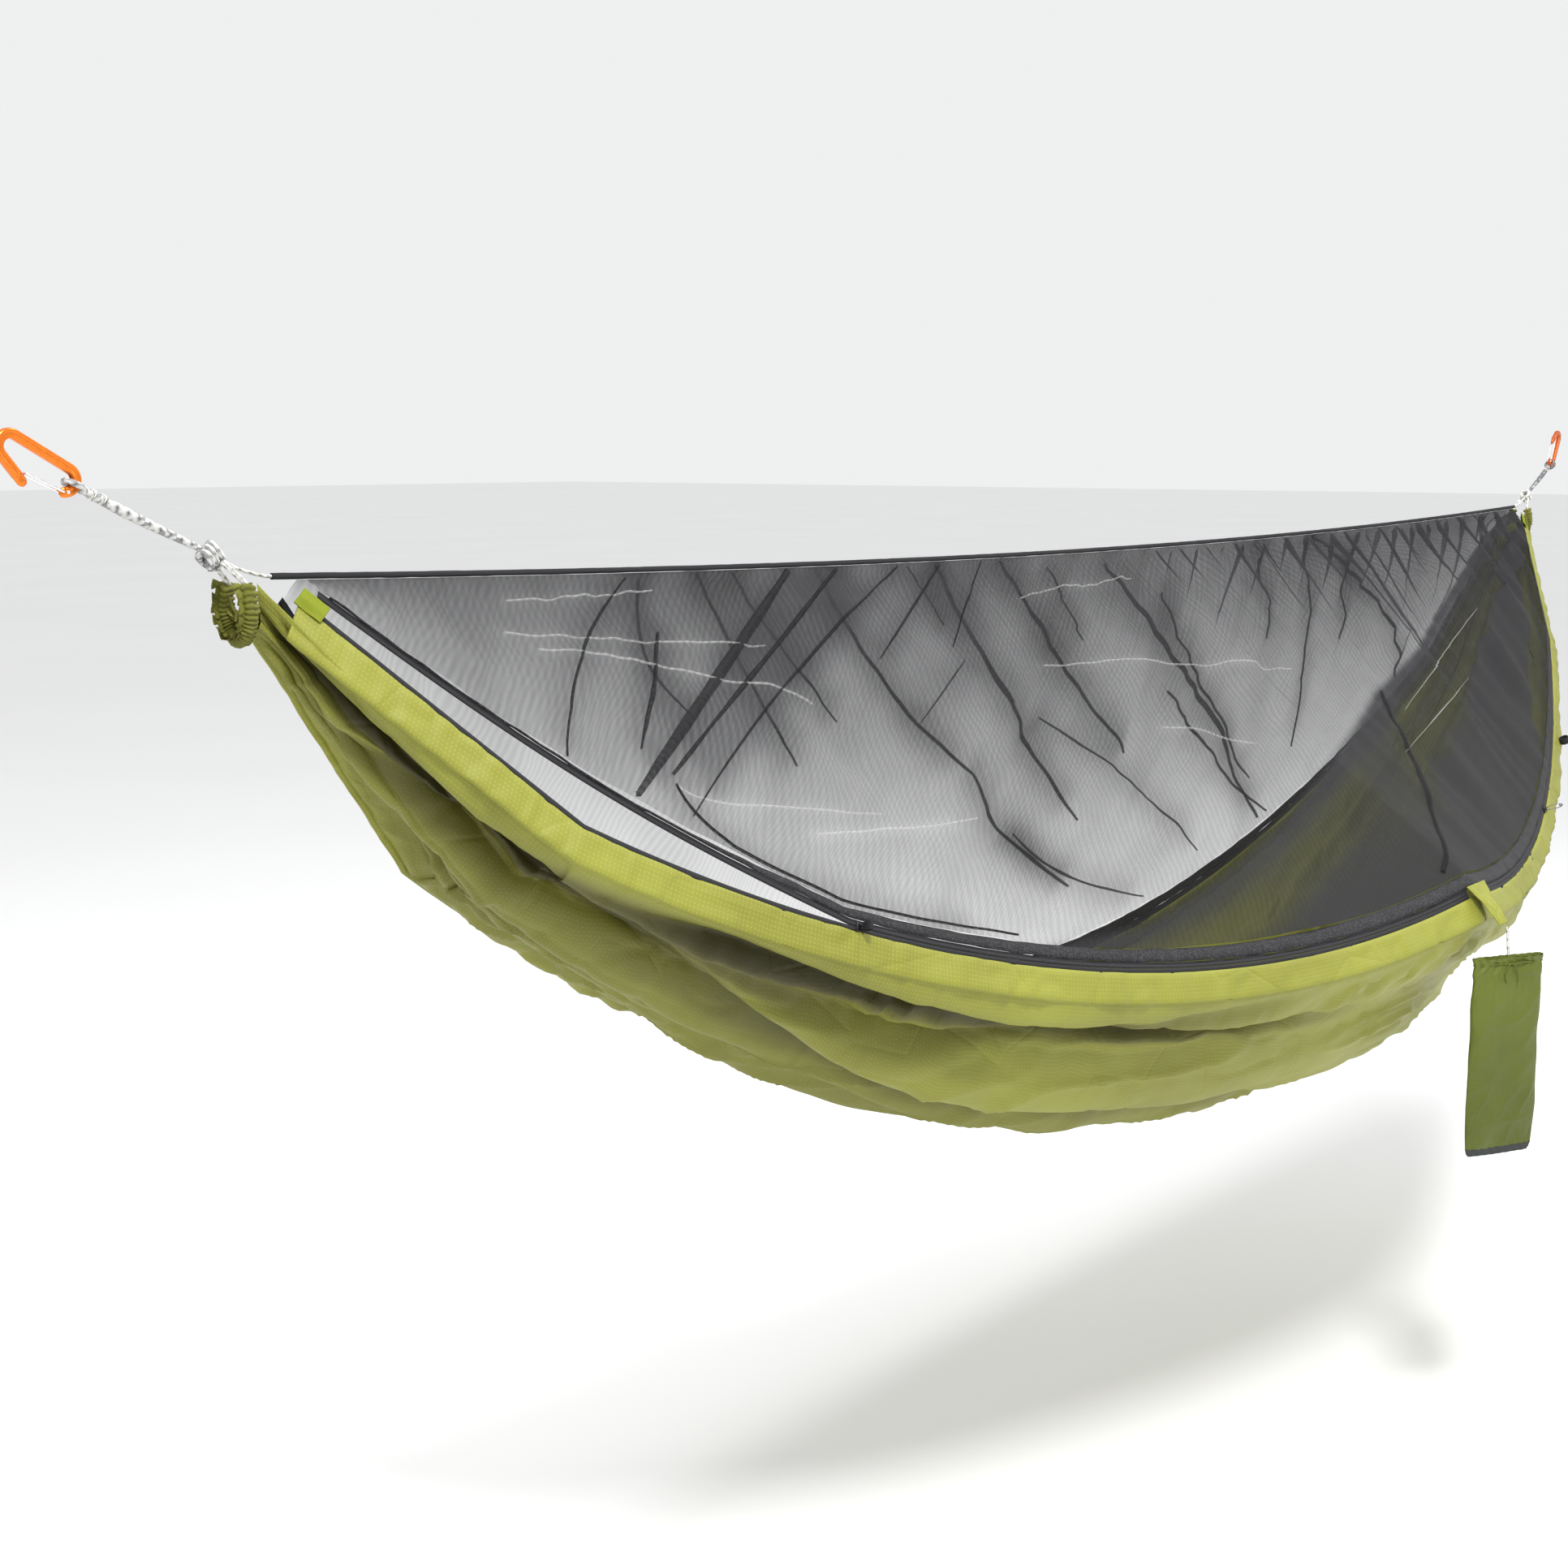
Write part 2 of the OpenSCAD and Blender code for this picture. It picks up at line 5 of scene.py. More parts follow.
import bpy
import numpy as np
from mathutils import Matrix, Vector


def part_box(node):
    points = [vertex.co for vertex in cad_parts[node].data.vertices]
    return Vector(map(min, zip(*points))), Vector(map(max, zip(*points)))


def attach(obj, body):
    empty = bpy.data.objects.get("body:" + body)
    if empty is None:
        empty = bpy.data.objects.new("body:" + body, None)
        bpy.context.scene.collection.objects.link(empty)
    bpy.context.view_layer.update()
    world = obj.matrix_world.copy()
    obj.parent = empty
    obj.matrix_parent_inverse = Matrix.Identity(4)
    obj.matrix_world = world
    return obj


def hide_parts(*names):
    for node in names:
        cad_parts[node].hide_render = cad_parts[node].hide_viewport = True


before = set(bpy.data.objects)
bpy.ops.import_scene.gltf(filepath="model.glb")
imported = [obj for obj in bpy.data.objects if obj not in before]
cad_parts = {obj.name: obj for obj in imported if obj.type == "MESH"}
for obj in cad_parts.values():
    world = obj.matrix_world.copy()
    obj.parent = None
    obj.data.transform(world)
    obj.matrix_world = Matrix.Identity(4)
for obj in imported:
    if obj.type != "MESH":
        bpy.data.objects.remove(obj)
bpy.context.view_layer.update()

# ---------------------------------------------------------------- geometry shared with the CAD
# O is the ridge line's left end. Every other place is measured from it. The rims are flat arcs: the near
# one has two halves that meet at CORNER, and each arc has its centre at NEAR_C or FAR_C.
lo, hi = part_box("ridge_cord")
O = np.array([lo[0] - 0.002, 0.0, hi[2] - 0.0015])
L = 2.70
MID = L / 2
SAG = 0.025
NEAR_END = np.array([0.207, -0.145, -0.212])
CORNER = np.array([MID, -0.475, -0.413])
NEAR_C = np.array([1.186, 0.174, 1.210])
FAR_END = np.array([0.207, 0.058, -0.249])
FAR_C = np.array([MID, -0.301, 1.272])
RIM_START = np.array([0.014, -0.015, -0.012])
FAR_START = np.array([0.014, 0.013, -0.012])
TAPE, HEM = 0.014, 0.024  # how far a zip's tape reaches, and how wide the hem beyond it is
BELLY = 0.10  # how much rounder than a straight line between the rims the cloth hangs
LEFT_AT, RIGHT_AT, FAR_AT = 0.24, 0.50, 0.53  # where the sliders stand on their rims
GATHER_N = np.array([-0.026, -0.012, -0.020])
GATHER_F = np.array([-0.026, 0.012, -0.020])


def unit(v):
    v = np.asarray(v, float)
    return v / np.linalg.norm(v, axis=-1, keepdims=True)


def mir(p):
    q = np.array(p, float)
    q[..., 0] = L - q[..., 0]
    return q


def on_arc(c, a, b, v):
    v = np.asarray(v, float)[..., None]
    w = math.acos(float(unit(a - c) @ unit(b - c)))
    return c + (np.sin((1 - v) * w) * (a - c) + np.sin(v * w) * (b - c)) / math.sin(w)


SIDES = {
    "left": (NEAR_C, NEAR_END, CORNER, RIM_START, None),
    "far": (FAR_C, FAR_END, mir(FAR_END), FAR_START, mir(FAR_START)),
}


def rim(side, v, out=0.0, up=0.0):
    """A rim's points: v from -1 (gather) through 0 to 1, out from the zip's line, up off its plane."""
    v = np.asarray(v, float)
    if side == "right":
        return mir(rim("left", v, out, up))
    c, a, b, s, e = SIDES[side]
    p = on_arc(c, a, b, np.clip(v, 0, 1))
    o = unit(p - c)
    n = unit(np.cross(a - c, b - c))
    low = np.clip(-v, 0, 1)[..., None]
    p = p * (1 - low) + s * low * (v < 0)[..., None] + p * low * (v >= 0)[..., None]
    if e is not None:
        high = np.clip(v - 1, 0, 1)[..., None]
        p = p * (1 - high) + e * high
    return p + np.asarray(out)[..., None] * o + np.asarray(up)[..., None] * n


def near_rim(t, out=0.0, up=0.0):
    """The whole near rim, t from 0 at the left to 1 at the right."""
    t = np.asarray(t, float)
    left = rim("left", np.minimum(2 * t, 1), out, up)
    right = rim("right", np.minimum(2 - 2 * t, 1), out, up)
    return np.where((t <= 0.5)[..., None], left, right)


def ridge(x):
    x = np.asarray(x, float)
    z = -SAG * (1 - ((x - MID) / MID) ** 2)
    return np.stack([x, 0 * x, z], -1)


# ---------------------------------------------------------------- noise, all seeded
_rng = np.random.default_rng(7)
_lat = _rng.uniform(-1, 1, (256, 256))


def noise2(x, y, seed=0):
    """Smooth value noise in two directions, from -1 to 1."""
    x = np.asarray(x, float) + 17.3 * seed
    y = np.asarray(y, float) + 5.7 * seed
    xi, yi = np.floor(x).astype(int), np.floor(y).astype(int)
    fx, fy = x - xi, y - yi
    fx, fy = fx * fx * (3 - 2 * fx), fy * fy * (3 - 2 * fy)
    g = lambda i, j: _lat[i % 256, j % 256]
    a = g(xi, yi) * (1 - fx) + g(xi + 1, yi) * fx
    b = g(xi, yi + 1) * (1 - fx) + g(xi + 1, yi + 1) * fx
    return a * (1 - fy) + b * fy


def smooth(a, b, x):
    t = np.clip((np.asarray(x, float) - a) / (b - a), 0, 1)
    return t * t * (3 - 2 * t)


# ---------------------------------------------------------------- mesh helpers
def mesh(name, verts, faces, uv=None, mats=(), face_mat=None):
    me = bpy.data.meshes.new(name)
    me.from_pydata([tuple(map(float, v)) for v in verts], [], [tuple(int(i) for i in f) for f in faces])
    if uv is not None:
        layer = me.uv_layers.new(name="UVMap")
        loops = np.empty(len(me.loops), dtype=np.int32)
        me.loops.foreach_get("vertex_index", loops)
        layer.data.foreach_set("uv", np.asarray(uv, np.float32)[loops].ravel())
    for m in mats:
        me.materials.append(m)
    if face_mat is not None:
        me.polygons.foreach_set("material_index", np.asarray(face_mat, np.int32))
    me.polygons.foreach_set("use_smooth", [True] * len(me.polygons))
    me.update()
    ob = bpy.data.objects.new(name, me)
    bpy.context.scene.collection.objects.link(ob)
    return ob


def grid_faces(m, n, wrap=False, base=0):
    i = np.arange(m - 1)[:, None]
    j = np.arange(n if wrap else n - 1)[None, :]
    j2 = (j + 1) % n
    f = np.stack([i * n + j, i * n + j2, (i + 1) * n + j2, (i + 1) * n + j], -1)
    return (f.reshape(-1, 4) + base).tolist()


def lengths(P, axis):
    d = np.linalg.norm(np.diff(P, axis=axis), axis=-1)
    z = np.zeros_like(np.take(d, [0], axis=axis))
    return np.cumsum(np.concatenate([z, d], axis=axis), axis=axis)


def pair(first, second):
    """Two numbers for every point of a grid, one row for each point."""
    return np.stack(np.broadcast_arrays(first, second), -1).reshape(-1, 2)


def sheet_mesh(name, P, mats, thick=0.0):
    """A cloth from a grid of points; thick gives it a second face."""
    m, n = P.shape[:2]
    ob = mesh(name, P.reshape(-1, 3), grid_faces(m, n), pair(lengths(P, 0), lengths(P, 1)), mats)
    if thick:
        mod = ob.modifiers.new("t", "SOLIDIFY")
        mod.thickness = thick
        mod.offset = 0
        apply(ob)
    return ob


def bar_mesh(name, P, uv, mats, face_mat=None):
    """A closed bar from rings of points, with a face over each end."""
    m, n = P.shape[:2]
    ends = [tuple(range(n - 1, -1, -1)), tuple((m - 1) * n + j for j in range(n))]
    return mesh(name, P.reshape(-1, 3), grid_faces(m, n, wrap=True) + ends, uv, mats, face_mat)


def add_place(ob, first, second):
    """A second UV map that carries two numbers for the material."""
    layer = ob.data.uv_layers.new(name="Place")
    loops = np.empty(len(ob.data.loops), dtype=np.int32)
    ob.data.loops.foreach_get("vertex_index", loops)
    layer.data.foreach_set("uv", np.asarray(pair(first, second), np.float32)[loops].ravel())


def apply(ob):
    deps = bpy.context.evaluated_depsgraph_get()
    me = bpy.data.meshes.new_from_object(ob.evaluated_get(deps))
    ob.modifiers.clear()
    ob.data = me
    return ob


def frames(path, up):
    path = np.asarray(path, float)
    t = unit(np.gradient(path, axis=0))
    a = unit(np.cross(t, np.asarray(up, float)))
    return t, a, np.cross(a, t)


def around(path, r, ang, a, b):
    """Points at radius r and angle ang round a path, whose side directions are a and b."""
    beside = (r * np.cos(ang))[..., None] * a[:, None, :]
    return path[:, None, :] + beside + (r * np.sin(ang))[..., None] * b[:, None, :]


def tube(name, path, radius, mats, sides=16, up=(0, 0, 1), wobble=None, closed=False):
    """A tube along points. radius is one number or one per point; wobble(angle, length) scales it."""
    path = np.asarray(path, float)
    n = len(path)
    if closed:
        ext = np.concatenate([path[-1:], path, path[:1]])
        t = unit(ext[2:] - ext[:-2])
        a = unit(np.cross(t, np.asarray(up, float)))
        b = np.cross(a, t)
    else:
        t, a, b = frames(path, up)
    ang = np.linspace(0, 2 * np.pi, sides, endpoint=False)[None, :]
    s = lengths(path[:, None, :], 0)
    r = np.broadcast_to(np.asarray(radius, float), (n,))[:, None]
    P = around(path, r * (wobble(ang, s) if wobble else np.ones_like(ang)), ang, a, b)
    uv = pair(s, ang / (2 * np.pi))
    if not closed:
        return bar_mesh(name, P, uv, mats)
    k = (n - 1) * sides
    seam = [(k + j, k + (j + 1) % sides, (j + 1) % sides, j) for j in range(sides)]
    return mesh(name, P.reshape(-1, 3), grid_faces(n, sides, wrap=True) + seam, uv, mats)


def join(name, *obs):
    """One object from several, each keeping its materials."""
    dest, obs = obs[0], list(obs)
    with bpy.context.temp_override(active_object=dest, selected_objects=obs, selected_editable_objects=obs):
        bpy.ops.object.join()
    dest.name = name
    dest.data.name = name
    return dest


def smooth_between(four, u):
    """The point at u from the second to the third of four points, on the smooth line through them."""
    p0, p1, p2, p3 = four
    return 0.5 * (2 * p1 + (p2 - p0) * u + (2 * p0 - 5 * p1 + 4 * p2 - p3) * u**2
                  + (3 * p1 - p0 - 3 * p2 + p3) * u**3)


def spline(points, n):
    """Points along a smooth line through the given ones, of which there are three or more."""
    P = np.asarray(points, float)
    ext = np.concatenate([2 * P[:1] - P[1:2], P, 2 * P[-1:] - P[-2:-1]])
    places = np.linspace(0, len(P) - 1 - 1e-9, n)
    return np.array([smooth_between(ext[int(s):int(s) + 4], s - int(s)) for s in places])


def settle(ob, body, node):
    """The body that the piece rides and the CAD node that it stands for."""
    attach(ob, body)
    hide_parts(node)


# ---------------------------------------------------------------- materials
def material(name):
    m = bpy.data.materials.new(name)
    m.use_nodes = True
    nt = m.node_tree
    bsdf = nt.nodes["Principled BSDF"]
    return m, nt, bsdf


def add(nt, kind, **inputs):
    n = nt.nodes.new(kind)
    for k, v in inputs.items():
        k = k.replace("_", " ")
        if k in n.inputs:
            n.inputs[k].default_value = v
    return n


def math_node(nt, op, a, b=None, c=None):
    n = nt.nodes.new("ShaderNodeMath")
    n.operation = op
    for i, x in enumerate((a, b, c)):
        if x is None:
            continue
        if isinstance(x, (int, float)):
            n.inputs[i].default_value = x
        else:
            nt.links.new(x, n.inputs[i])
    return n.outputs[0]


def ramp(nt, fac, stops):
    n = nt.nodes.new("ShaderNodeValToRGB")
    els = n.color_ramp.elements
    while len(els) < len(stops):
        els.new(0.5)
    for e, (p, c) in zip(els, stops):
        e.position = p
        e.color = (*c, 1.0)
    nt.links.new(fac, n.inputs[0])
    return n.outputs[0]


def mix_rgb(nt, fac, a, b, how="MIX"):
    n = nt.nodes.new("ShaderNodeMix")
    n.data_type = "RGBA"
    n.blend_type = how
    for sock, x in ((n.inputs[0], fac), (n.inputs[6], a), (n.inputs[7], b)):
        if isinstance(x, (int, float)):
            sock.default_value = x
        elif isinstance(x, tuple):
            sock.default_value = (*x, 1.0)
        else:
            nt.links.new(x, sock)
    return n.outputs[2]


def uv_xy(nt, layer="UVMap"):
    t = nt.nodes.new("ShaderNodeUVMap")
    t.uv_map = layer
    s = nt.nodes.new("ShaderNodeSeparateXYZ")
    nt.links.new(t.outputs[0], s.inputs[0])
    return t.outputs[0], s.outputs[0], s.outputs[1]


def lines(nt, x, pitch, width):
    """1 on thin lines every pitch, 0 between them."""
    f = math_node(nt, "FRACT", math_node(nt, "MULTIPLY", x, 1.0 / pitch))
    return math_node(nt, "LESS_THAN", f, width)


def wave(nt, x, pitch):
    return math_node(nt, "SINE", math_node(nt, "MULTIPLY", x, 2 * math.pi / pitch))


def bump(nt, bsdf, height, strength, distance):
    b = add(nt, "ShaderNodeBump", Strength=strength, Distance=distance)
    nt.links.new(height, b.inputs["Height"])
    nt.links.new(b.outputs[0], bsdf.inputs["Normal"])


def noise_tex(nt, vec, scale, detail=3.0, rough=0.5):
    n = add(nt, "ShaderNodeTexNoise", Scale=scale, Detail=detail, Roughness=rough)
    nt.links.new(vec, n.inputs["Vector"])
    return n.outputs[0]

def ridged_tex(nt, vec, scale, rough, gain, distortion):
    """Noise with sharp ridges, as crumpled cloth has."""
    n = add(nt, "ShaderNodeTexNoise", Scale=scale, Detail=2.0, Roughness=rough, Lacunarity=2.1, Offset=0.95,
            Gain=gain, Distortion=distortion)
    n.noise_type = "RIDGED_MULTIFRACTAL"
    nt.links.new(vec, n.inputs["Vector"])
    return n.outputs["Fac"]


def tint(colour, by, plus=0.0):
    return tuple(min(1, c * by + plus) for c in colour)


def ripstop(name, light, dark, rough=0.42, pitch=0.0042):
    """Satin nylon with a small ripstop grid, faint blotches and crumples.

    The mesh's second UV map gives how much painted shade a place gets, from folds' shadows and the underside,
    and how puckered it is.
    """
    m, nt, b = material(name)
    vec, x, y = uv_xy(nt)
    _, painted_shade, puckered = uv_xy(nt, "Place")
    obj = nt.nodes.new("ShaderNodeTexCoord").outputs["Object"]
    grid = math_node(nt, "MAXIMUM", lines(nt, x, pitch, 0.16), lines(nt, y, pitch, 0.16))
    cross = math_node(nt, "MULTIPLY", lines(nt, x, pitch, 0.42), lines(nt, y, pitch, 0.42))
    fine = math_node(nt, "MULTIPLY", wave(nt, x, 0.0007), wave(nt, y, 0.0007))
    blot = noise_tex(nt, obj, 3.0, 4.0, 0.6)
    big = noise_tex(nt, obj, 26.0, 2.0, 0.5)
    col = ramp(nt, blot, [(0.35, dark), (0.62, light)])
    col = mix_rgb(nt, math_node(nt, "MULTIPLY", grid, 0.12), col, tint(light, 1.30))
    col = mix_rgb(nt, math_node(nt, "MULTIPLY", cross, 0.24), col, tint(light, 1.55, 0.02))
    col = mix_rgb(nt, math_node(nt, "MULTIPLY", big, 0.12), col, tint(dark, 0.72))
    # painted shade: darkens the colour where the Place map marks folds' shadows and the underside
    col = mix_rgb(nt, painted_shade, col, (dark[0] * 0.09, dark[1] * 0.065, dark[2] * 0.08))
    nt.links.new(col, b.inputs["Base Color"])
    rr = math_node(nt, "MULTIPLY_ADD", grid, 0.10, rough)
    nt.links.new(math_node(nt, "MULTIPLY_ADD", big, 0.12, rr), b.inputs["Roughness"])
    b.inputs["Specular IOR Level"].default_value = 0.35

    # the height: the woven grid, broad facets, then sharp crumples, which come in patches
    facet = add(nt, "ShaderNodeTexVoronoi", Scale=9.0)
    facet.feature = "DISTANCE_TO_EDGE"
    nt.links.new(obj, facet.inputs["Vector"])
    facet = math_node(nt, "SMOOTH_MIN", facet.outputs["Distance"], 0.03, 0.02)
    h = math_node(nt, "MULTIPLY_ADD", grid, 0.00022, math_node(nt, "MULTIPLY", fine, 0.00004))
    h = math_node(nt, "ADD", h, math_node(nt, "MULTIPLY", facet, 0.02))
    h = math_node(nt, "MULTIPLY_ADD", noise_tex(nt, obj, 40.0, 3.0, 0.6), 0.0012, h)
    patch = math_node(nt, "MULTIPLY_ADD", noise_tex(nt, obj, 5.0, 2.0, 0.5), 2.4, -0.85)
    patch = math_node(nt, "MAXIMUM", patch, 0.0)
    for scale, deep in ((9.0, 0.0085), (23.0, 0.0040)):
        crumple = ridged_tex(nt, obj, scale, 0.45, 1.4, 0.6)
        h = math_node(nt, "MULTIPLY_ADD", math_node(nt, "MULTIPLY", crumple, patch), deep, h)
    squeeze = add(nt, "ShaderNodeMapping")
    squeeze.inputs["Scale"].default_value = (1.0, 0.30, 1.0)
    nt.links.new(vec, squeeze.inputs["Vector"])
    pucker = ridged_tex(nt, squeeze.outputs[0], 27.0, 0.5, 1.6, 0.9)
    h = math_node(nt, "MULTIPLY_ADD", math_node(nt, "MULTIPLY", pucker, puckered), 0.0055, h)
    bump(nt, b, h, 0.85, 1.0)
    return m


def net_mat(name, alpha, colour):
    """Fine knitted mesh: threads opaque, holes clear, with the slow moire of two fine grids.

    The mesh's second UV map gives its extra density, which is partly folded net and partly painted shade, and
    its share of the way from the ridge to the rim.
    """
    m, nt, b = material(name)
    vec, x, y = uv_xy(nt)
    _, dense, down = uv_xy(nt, "Place")
    thread = math_node(nt, "MAXIMUM", wave(nt, x, 0.0011), wave(nt, y, 0.0013))
    thread = math_node(nt, "GREATER_THAN", thread, 0.35)
    w = add(nt, "ShaderNodeTexWave", Scale=34.0, Distortion=9.0, Detail=2.0)
    w.inputs["Detail Scale"].default_value = 0.35
    nt.links.new(vec, w.inputs["Vector"])
    moire = math_node(nt, "SUBTRACT", w.outputs["Fac"], 0.5)
    slow = math_node(nt, "SUBTRACT", noise_tex(nt, vec, 7.0, 3.0, 0.6), 0.5)
    knit = math_node(nt, "MULTIPLY", math_node(nt, "SUBTRACT", thread, 0.5), 0.16)
    # the net is fullest at the ridge
    top = math_node(nt, "POWER", math_node(nt, "SUBTRACT", 1.0, down), 1.6)
    a = math_node(nt, "MULTIPLY_ADD", top, 0.34, alpha)
    a = math_node(nt, "MULTIPLY_ADD", moire, 0.09, a)
    a = math_node(nt, "MULTIPLY_ADD", slow, 0.22, a)
    a = math_node(nt, "ADD", math_node(nt, "ADD", a, knit), dense)
    a = math_node(nt, "MINIMUM", math_node(nt, "MAXIMUM", a, 0.05), 0.97)
    nt.links.new(a, b.inputs["Alpha"])
    b.inputs["Base Color"].default_value = (*colour, 1)
    b.inputs["Roughness"].default_value = 0.6
    b.inputs["Specular IOR Level"].default_value = 0.12
    bump(nt, b, thread, 0.3, 0.0002)
    return m


def weave(name, colour, pitch=0.0012, rough=0.75, depth=0.0003, fleck=None):
    """Webbing or tape: rows of small ribs, with specks of another colour if asked."""
    m, nt, b = material(name)
    vec, x, y = uv_xy(nt)
    rib = math_node(nt, "MULTIPLY", wave(nt, x, pitch), wave(nt, y, pitch * 1.6))
    col = mix_rgb(nt, math_node(nt, "MULTIPLY_ADD", rib, 0.25, 0.3), colour, tint(colour, 1.9, 0.015))
    if fleck is not None:
        v = add(nt, "ShaderNodeTexVoronoi", Scale=900.0)
        nt.links.new(vec, v.inputs["Vector"])
        hit = math_node(nt, "GREATER_THAN", noise_tex(nt, v.outputs["Position"], 900.0, 0.0), 0.6)
        col = mix_rgb(nt, math_node(nt, "MULTIPLY", hit, 0.55), col, fleck)
    nt.links.new(col, b.inputs["Base Color"])
    b.inputs["Roughness"].default_value = rough
    b.inputs["Specular IOR Level"].default_value = 0.2
    bump(nt, b, rib, 0.6, depth)
    return m


BRAID_PITCH = 0.010


def rope_mat(name, light, dark, share, rough=0.8):
    """Braided rope: strands cross along both diagonals, and some strands carry the dark colour."""
    m, nt, b = material(name)
    vec, x, y = uv_xy(nt)
    k = 1 / BRAID_PITCH
    d1 = math_node(nt, "MULTIPLY_ADD", x, k, math_node(nt, "MULTIPLY", y, 2.0))
    d2 = math_node(nt, "MULTIPLY_ADD", x, k, math_node(nt, "MULTIPLY", y, -2.0))
    s1 = math_node(nt, "ABSOLUTE", math_node(nt, "SINE", math_node(nt, "MULTIPLY", d1, math.pi)))
    s2 = math_node(nt, "ABSOLUTE", math_node(nt, "SINE", math_node(nt, "MULTIPLY", d2, math.pi)))
    over = math_node(nt, "GREATER_THAN", s1, s2)
    h = math_node(nt, "MAXIMUM", s1, s2)
    yarn = math_node(nt, "MULTIPLY", math_node(nt, "SINE", math_node(nt, "MULTIPLY", x, 9000.0)), 0.08)
    comb = nt.nodes.new("ShaderNodeCombineXYZ")
    nt.links.new(math_node(nt, "FLOOR", d1), comb.inputs[0])
    nt.links.new(math_node(nt, "FLOOR", d2), comb.inputs[1])
    nt.links.new(over, comb.inputs[2])
    white = nt.nodes.new("ShaderNodeTexWhiteNoise")
    nt.links.new(comb.outputs[0], white.inputs["Vector"])
    speck = math_node(nt, "LESS_THAN", white.outputs["Value"], share)
    col = mix_rgb(nt, speck, light, dark)
    # painted shade in the grooves between strands
    gap_shade = math_node(nt, "MULTIPLY", math_node(nt, "SUBTRACT", 1.0, h), 1.2)
    col = mix_rgb(nt, gap_shade, col, tint(dark, 0.35))
    nt.links.new(col, b.inputs["Base Color"])
    b.inputs["Roughness"].default_value = rough
    bump(nt, b, math_node(nt, "ADD", h, yarn), 0.9, 0.0010)
    return m


def anodised(name, colour):
    m, nt, b = material(name)
    obj = nt.nodes.new("ShaderNodeTexCoord").outputs["Object"]
    n = noise_tex(nt, obj, 220.0, 4.0, 0.6)
    s = noise_tex(nt, obj, 1400.0, 2.0)
    col = ramp(nt, n, [(0.3, tint(colour, 0.82)), (0.7, colour)])
    nt.links.new(col, b.inputs["Base Color"])
    b.inputs["Metallic"].default_value = 0.75
    nt.links.new(math_node(nt, "MULTIPLY_ADD", n, 0.18, 0.20), b.inputs["Roughness"])
    b.inputs["Coat Weight"].default_value = 0.35
    b.inputs["Coat Roughness"].default_value = 0.15
    bump(nt, b, math_node(nt, "MULTIPLY_ADD", s, 0.3, n), 0.06, 0.0002)
    return m


def steel(name, colour=(0.74, 0.75, 0.76)):
    m, nt, b = material(name)
    obj = nt.nodes.new("ShaderNodeTexCoord").outputs["Object"]
    n = noise_tex(nt, obj, 600.0, 3.0)
    b.inputs["Base Color"].default_value = (*colour, 1)
    b.inputs["Metallic"].default_value = 1.0
    nt.links.new(math_node(nt, "MULTIPLY_ADD", n, 0.2, 0.18), b.inputs["Roughness"])
    bump(nt, b, n, 0.1, 0.0002)
    return m


def enamel(name, colour):
    m, nt, b = material(name)
    obj = nt.nodes.new("ShaderNodeTexCoord").outputs["Object"]
    n = noise_tex(nt, obj, 900.0, 3.0)
    nt.links.new(ramp(nt, n, [(0.3, colour), (0.8, tint(colour, 2.2))]), b.inputs["Base Color"])
    b.inputs["Metallic"].default_value = 0.5
    nt.links.new(math_node(nt, "MULTIPLY_ADD", n, 0.2, 0.25), b.inputs["Roughness"])
    bump(nt, b, n, 0.15, 0.0002)
    return m


GREEN_L, GREEN_D = (0.270, 0.278, 0.036), (0.205, 0.207, 0.024)
M = {
    "green": ripstop("nylon_green", GREEN_L, GREEN_D),
    "hem": ripstop("nylon_hem", GREEN_L, GREEN_D, 0.45),
    # the same nylon made darker: painted shade for the bunched gathered ends
    "gather": ripstop("nylon_gather_painted_shade", tint(GREEN_L, 0.72), tint(GREEN_D, 0.55), 0.5),
    # near-white net strips: painted highlight where the black net's folds catch the light
    "net_painted_highlight": net_mat("insect_net_painted_highlight", 0.20, (0.80, 0.80, 0.80)),
    "olive": ripstop("nylon_sack", (0.112, 0.138, 0.012), (0.070, 0.088, 0.007), 0.38, 0.003),
    "near_net": net_mat("insect_net_near", 0.29, (0.018, 0.018, 0.020)),
    "far_net": net_mat("insect_net_far", 0.20, (0.018, 0.018, 0.020)),
    "fold_net": net_mat("insect_net_folded", 0.86, (0.006, 0.006, 0.007)),
    "strip": weave("net_binding", (0.009, 0.009, 0.010), 0.0016, 0.6, fleck=(0.07, 0.07, 0.075)),
    "ridge": weave("ridge_binding", (0.010, 0.010, 0.012), 0.0020, 0.65),
    "tape": weave("zip_tape", (0.010, 0.010, 0.012), 0.0009, 0.8),
    "coil": weave("zip_coil", (0.018, 0.018, 0.020), 0.0011, 0.35, 0.0006),
    "webbing": weave("webbing_black", (0.012, 0.012, 0.014), 0.0014, 0.7, 0.0005),
    "lime": weave("tab_lime", (0.15, 0.18, 0.006), 0.0010, 0.6),
    "panel": weave("panel_grey", (0.035, 0.038, 0.038), 0.0010, 0.7),
    "rope_l": rope_mat("rope_light", (0.60, 0.60, 0.58), (0.27, 0.27, 0.27), 0.20),
    "rope_r": rope_mat("rope_dark", (0.13, 0.13, 0.14), (0.42, 0.42, 0.42), 0.25),
    "cord": rope_mat("cord_white", (0.74, 0.73, 0.69), (0.5, 0.49, 0.45), 0.1),
    "orange": anodised("anodised_orange", (0.85, 0.20, 0.008)),
    "orange_dark": anodised("anodised_red_orange", (0.62, 0.11, 0.010)),
    "steel": steel("gate_steel"),
    "slider": enamel("slider_black", (0.012, 0.012, 0.013)),
}

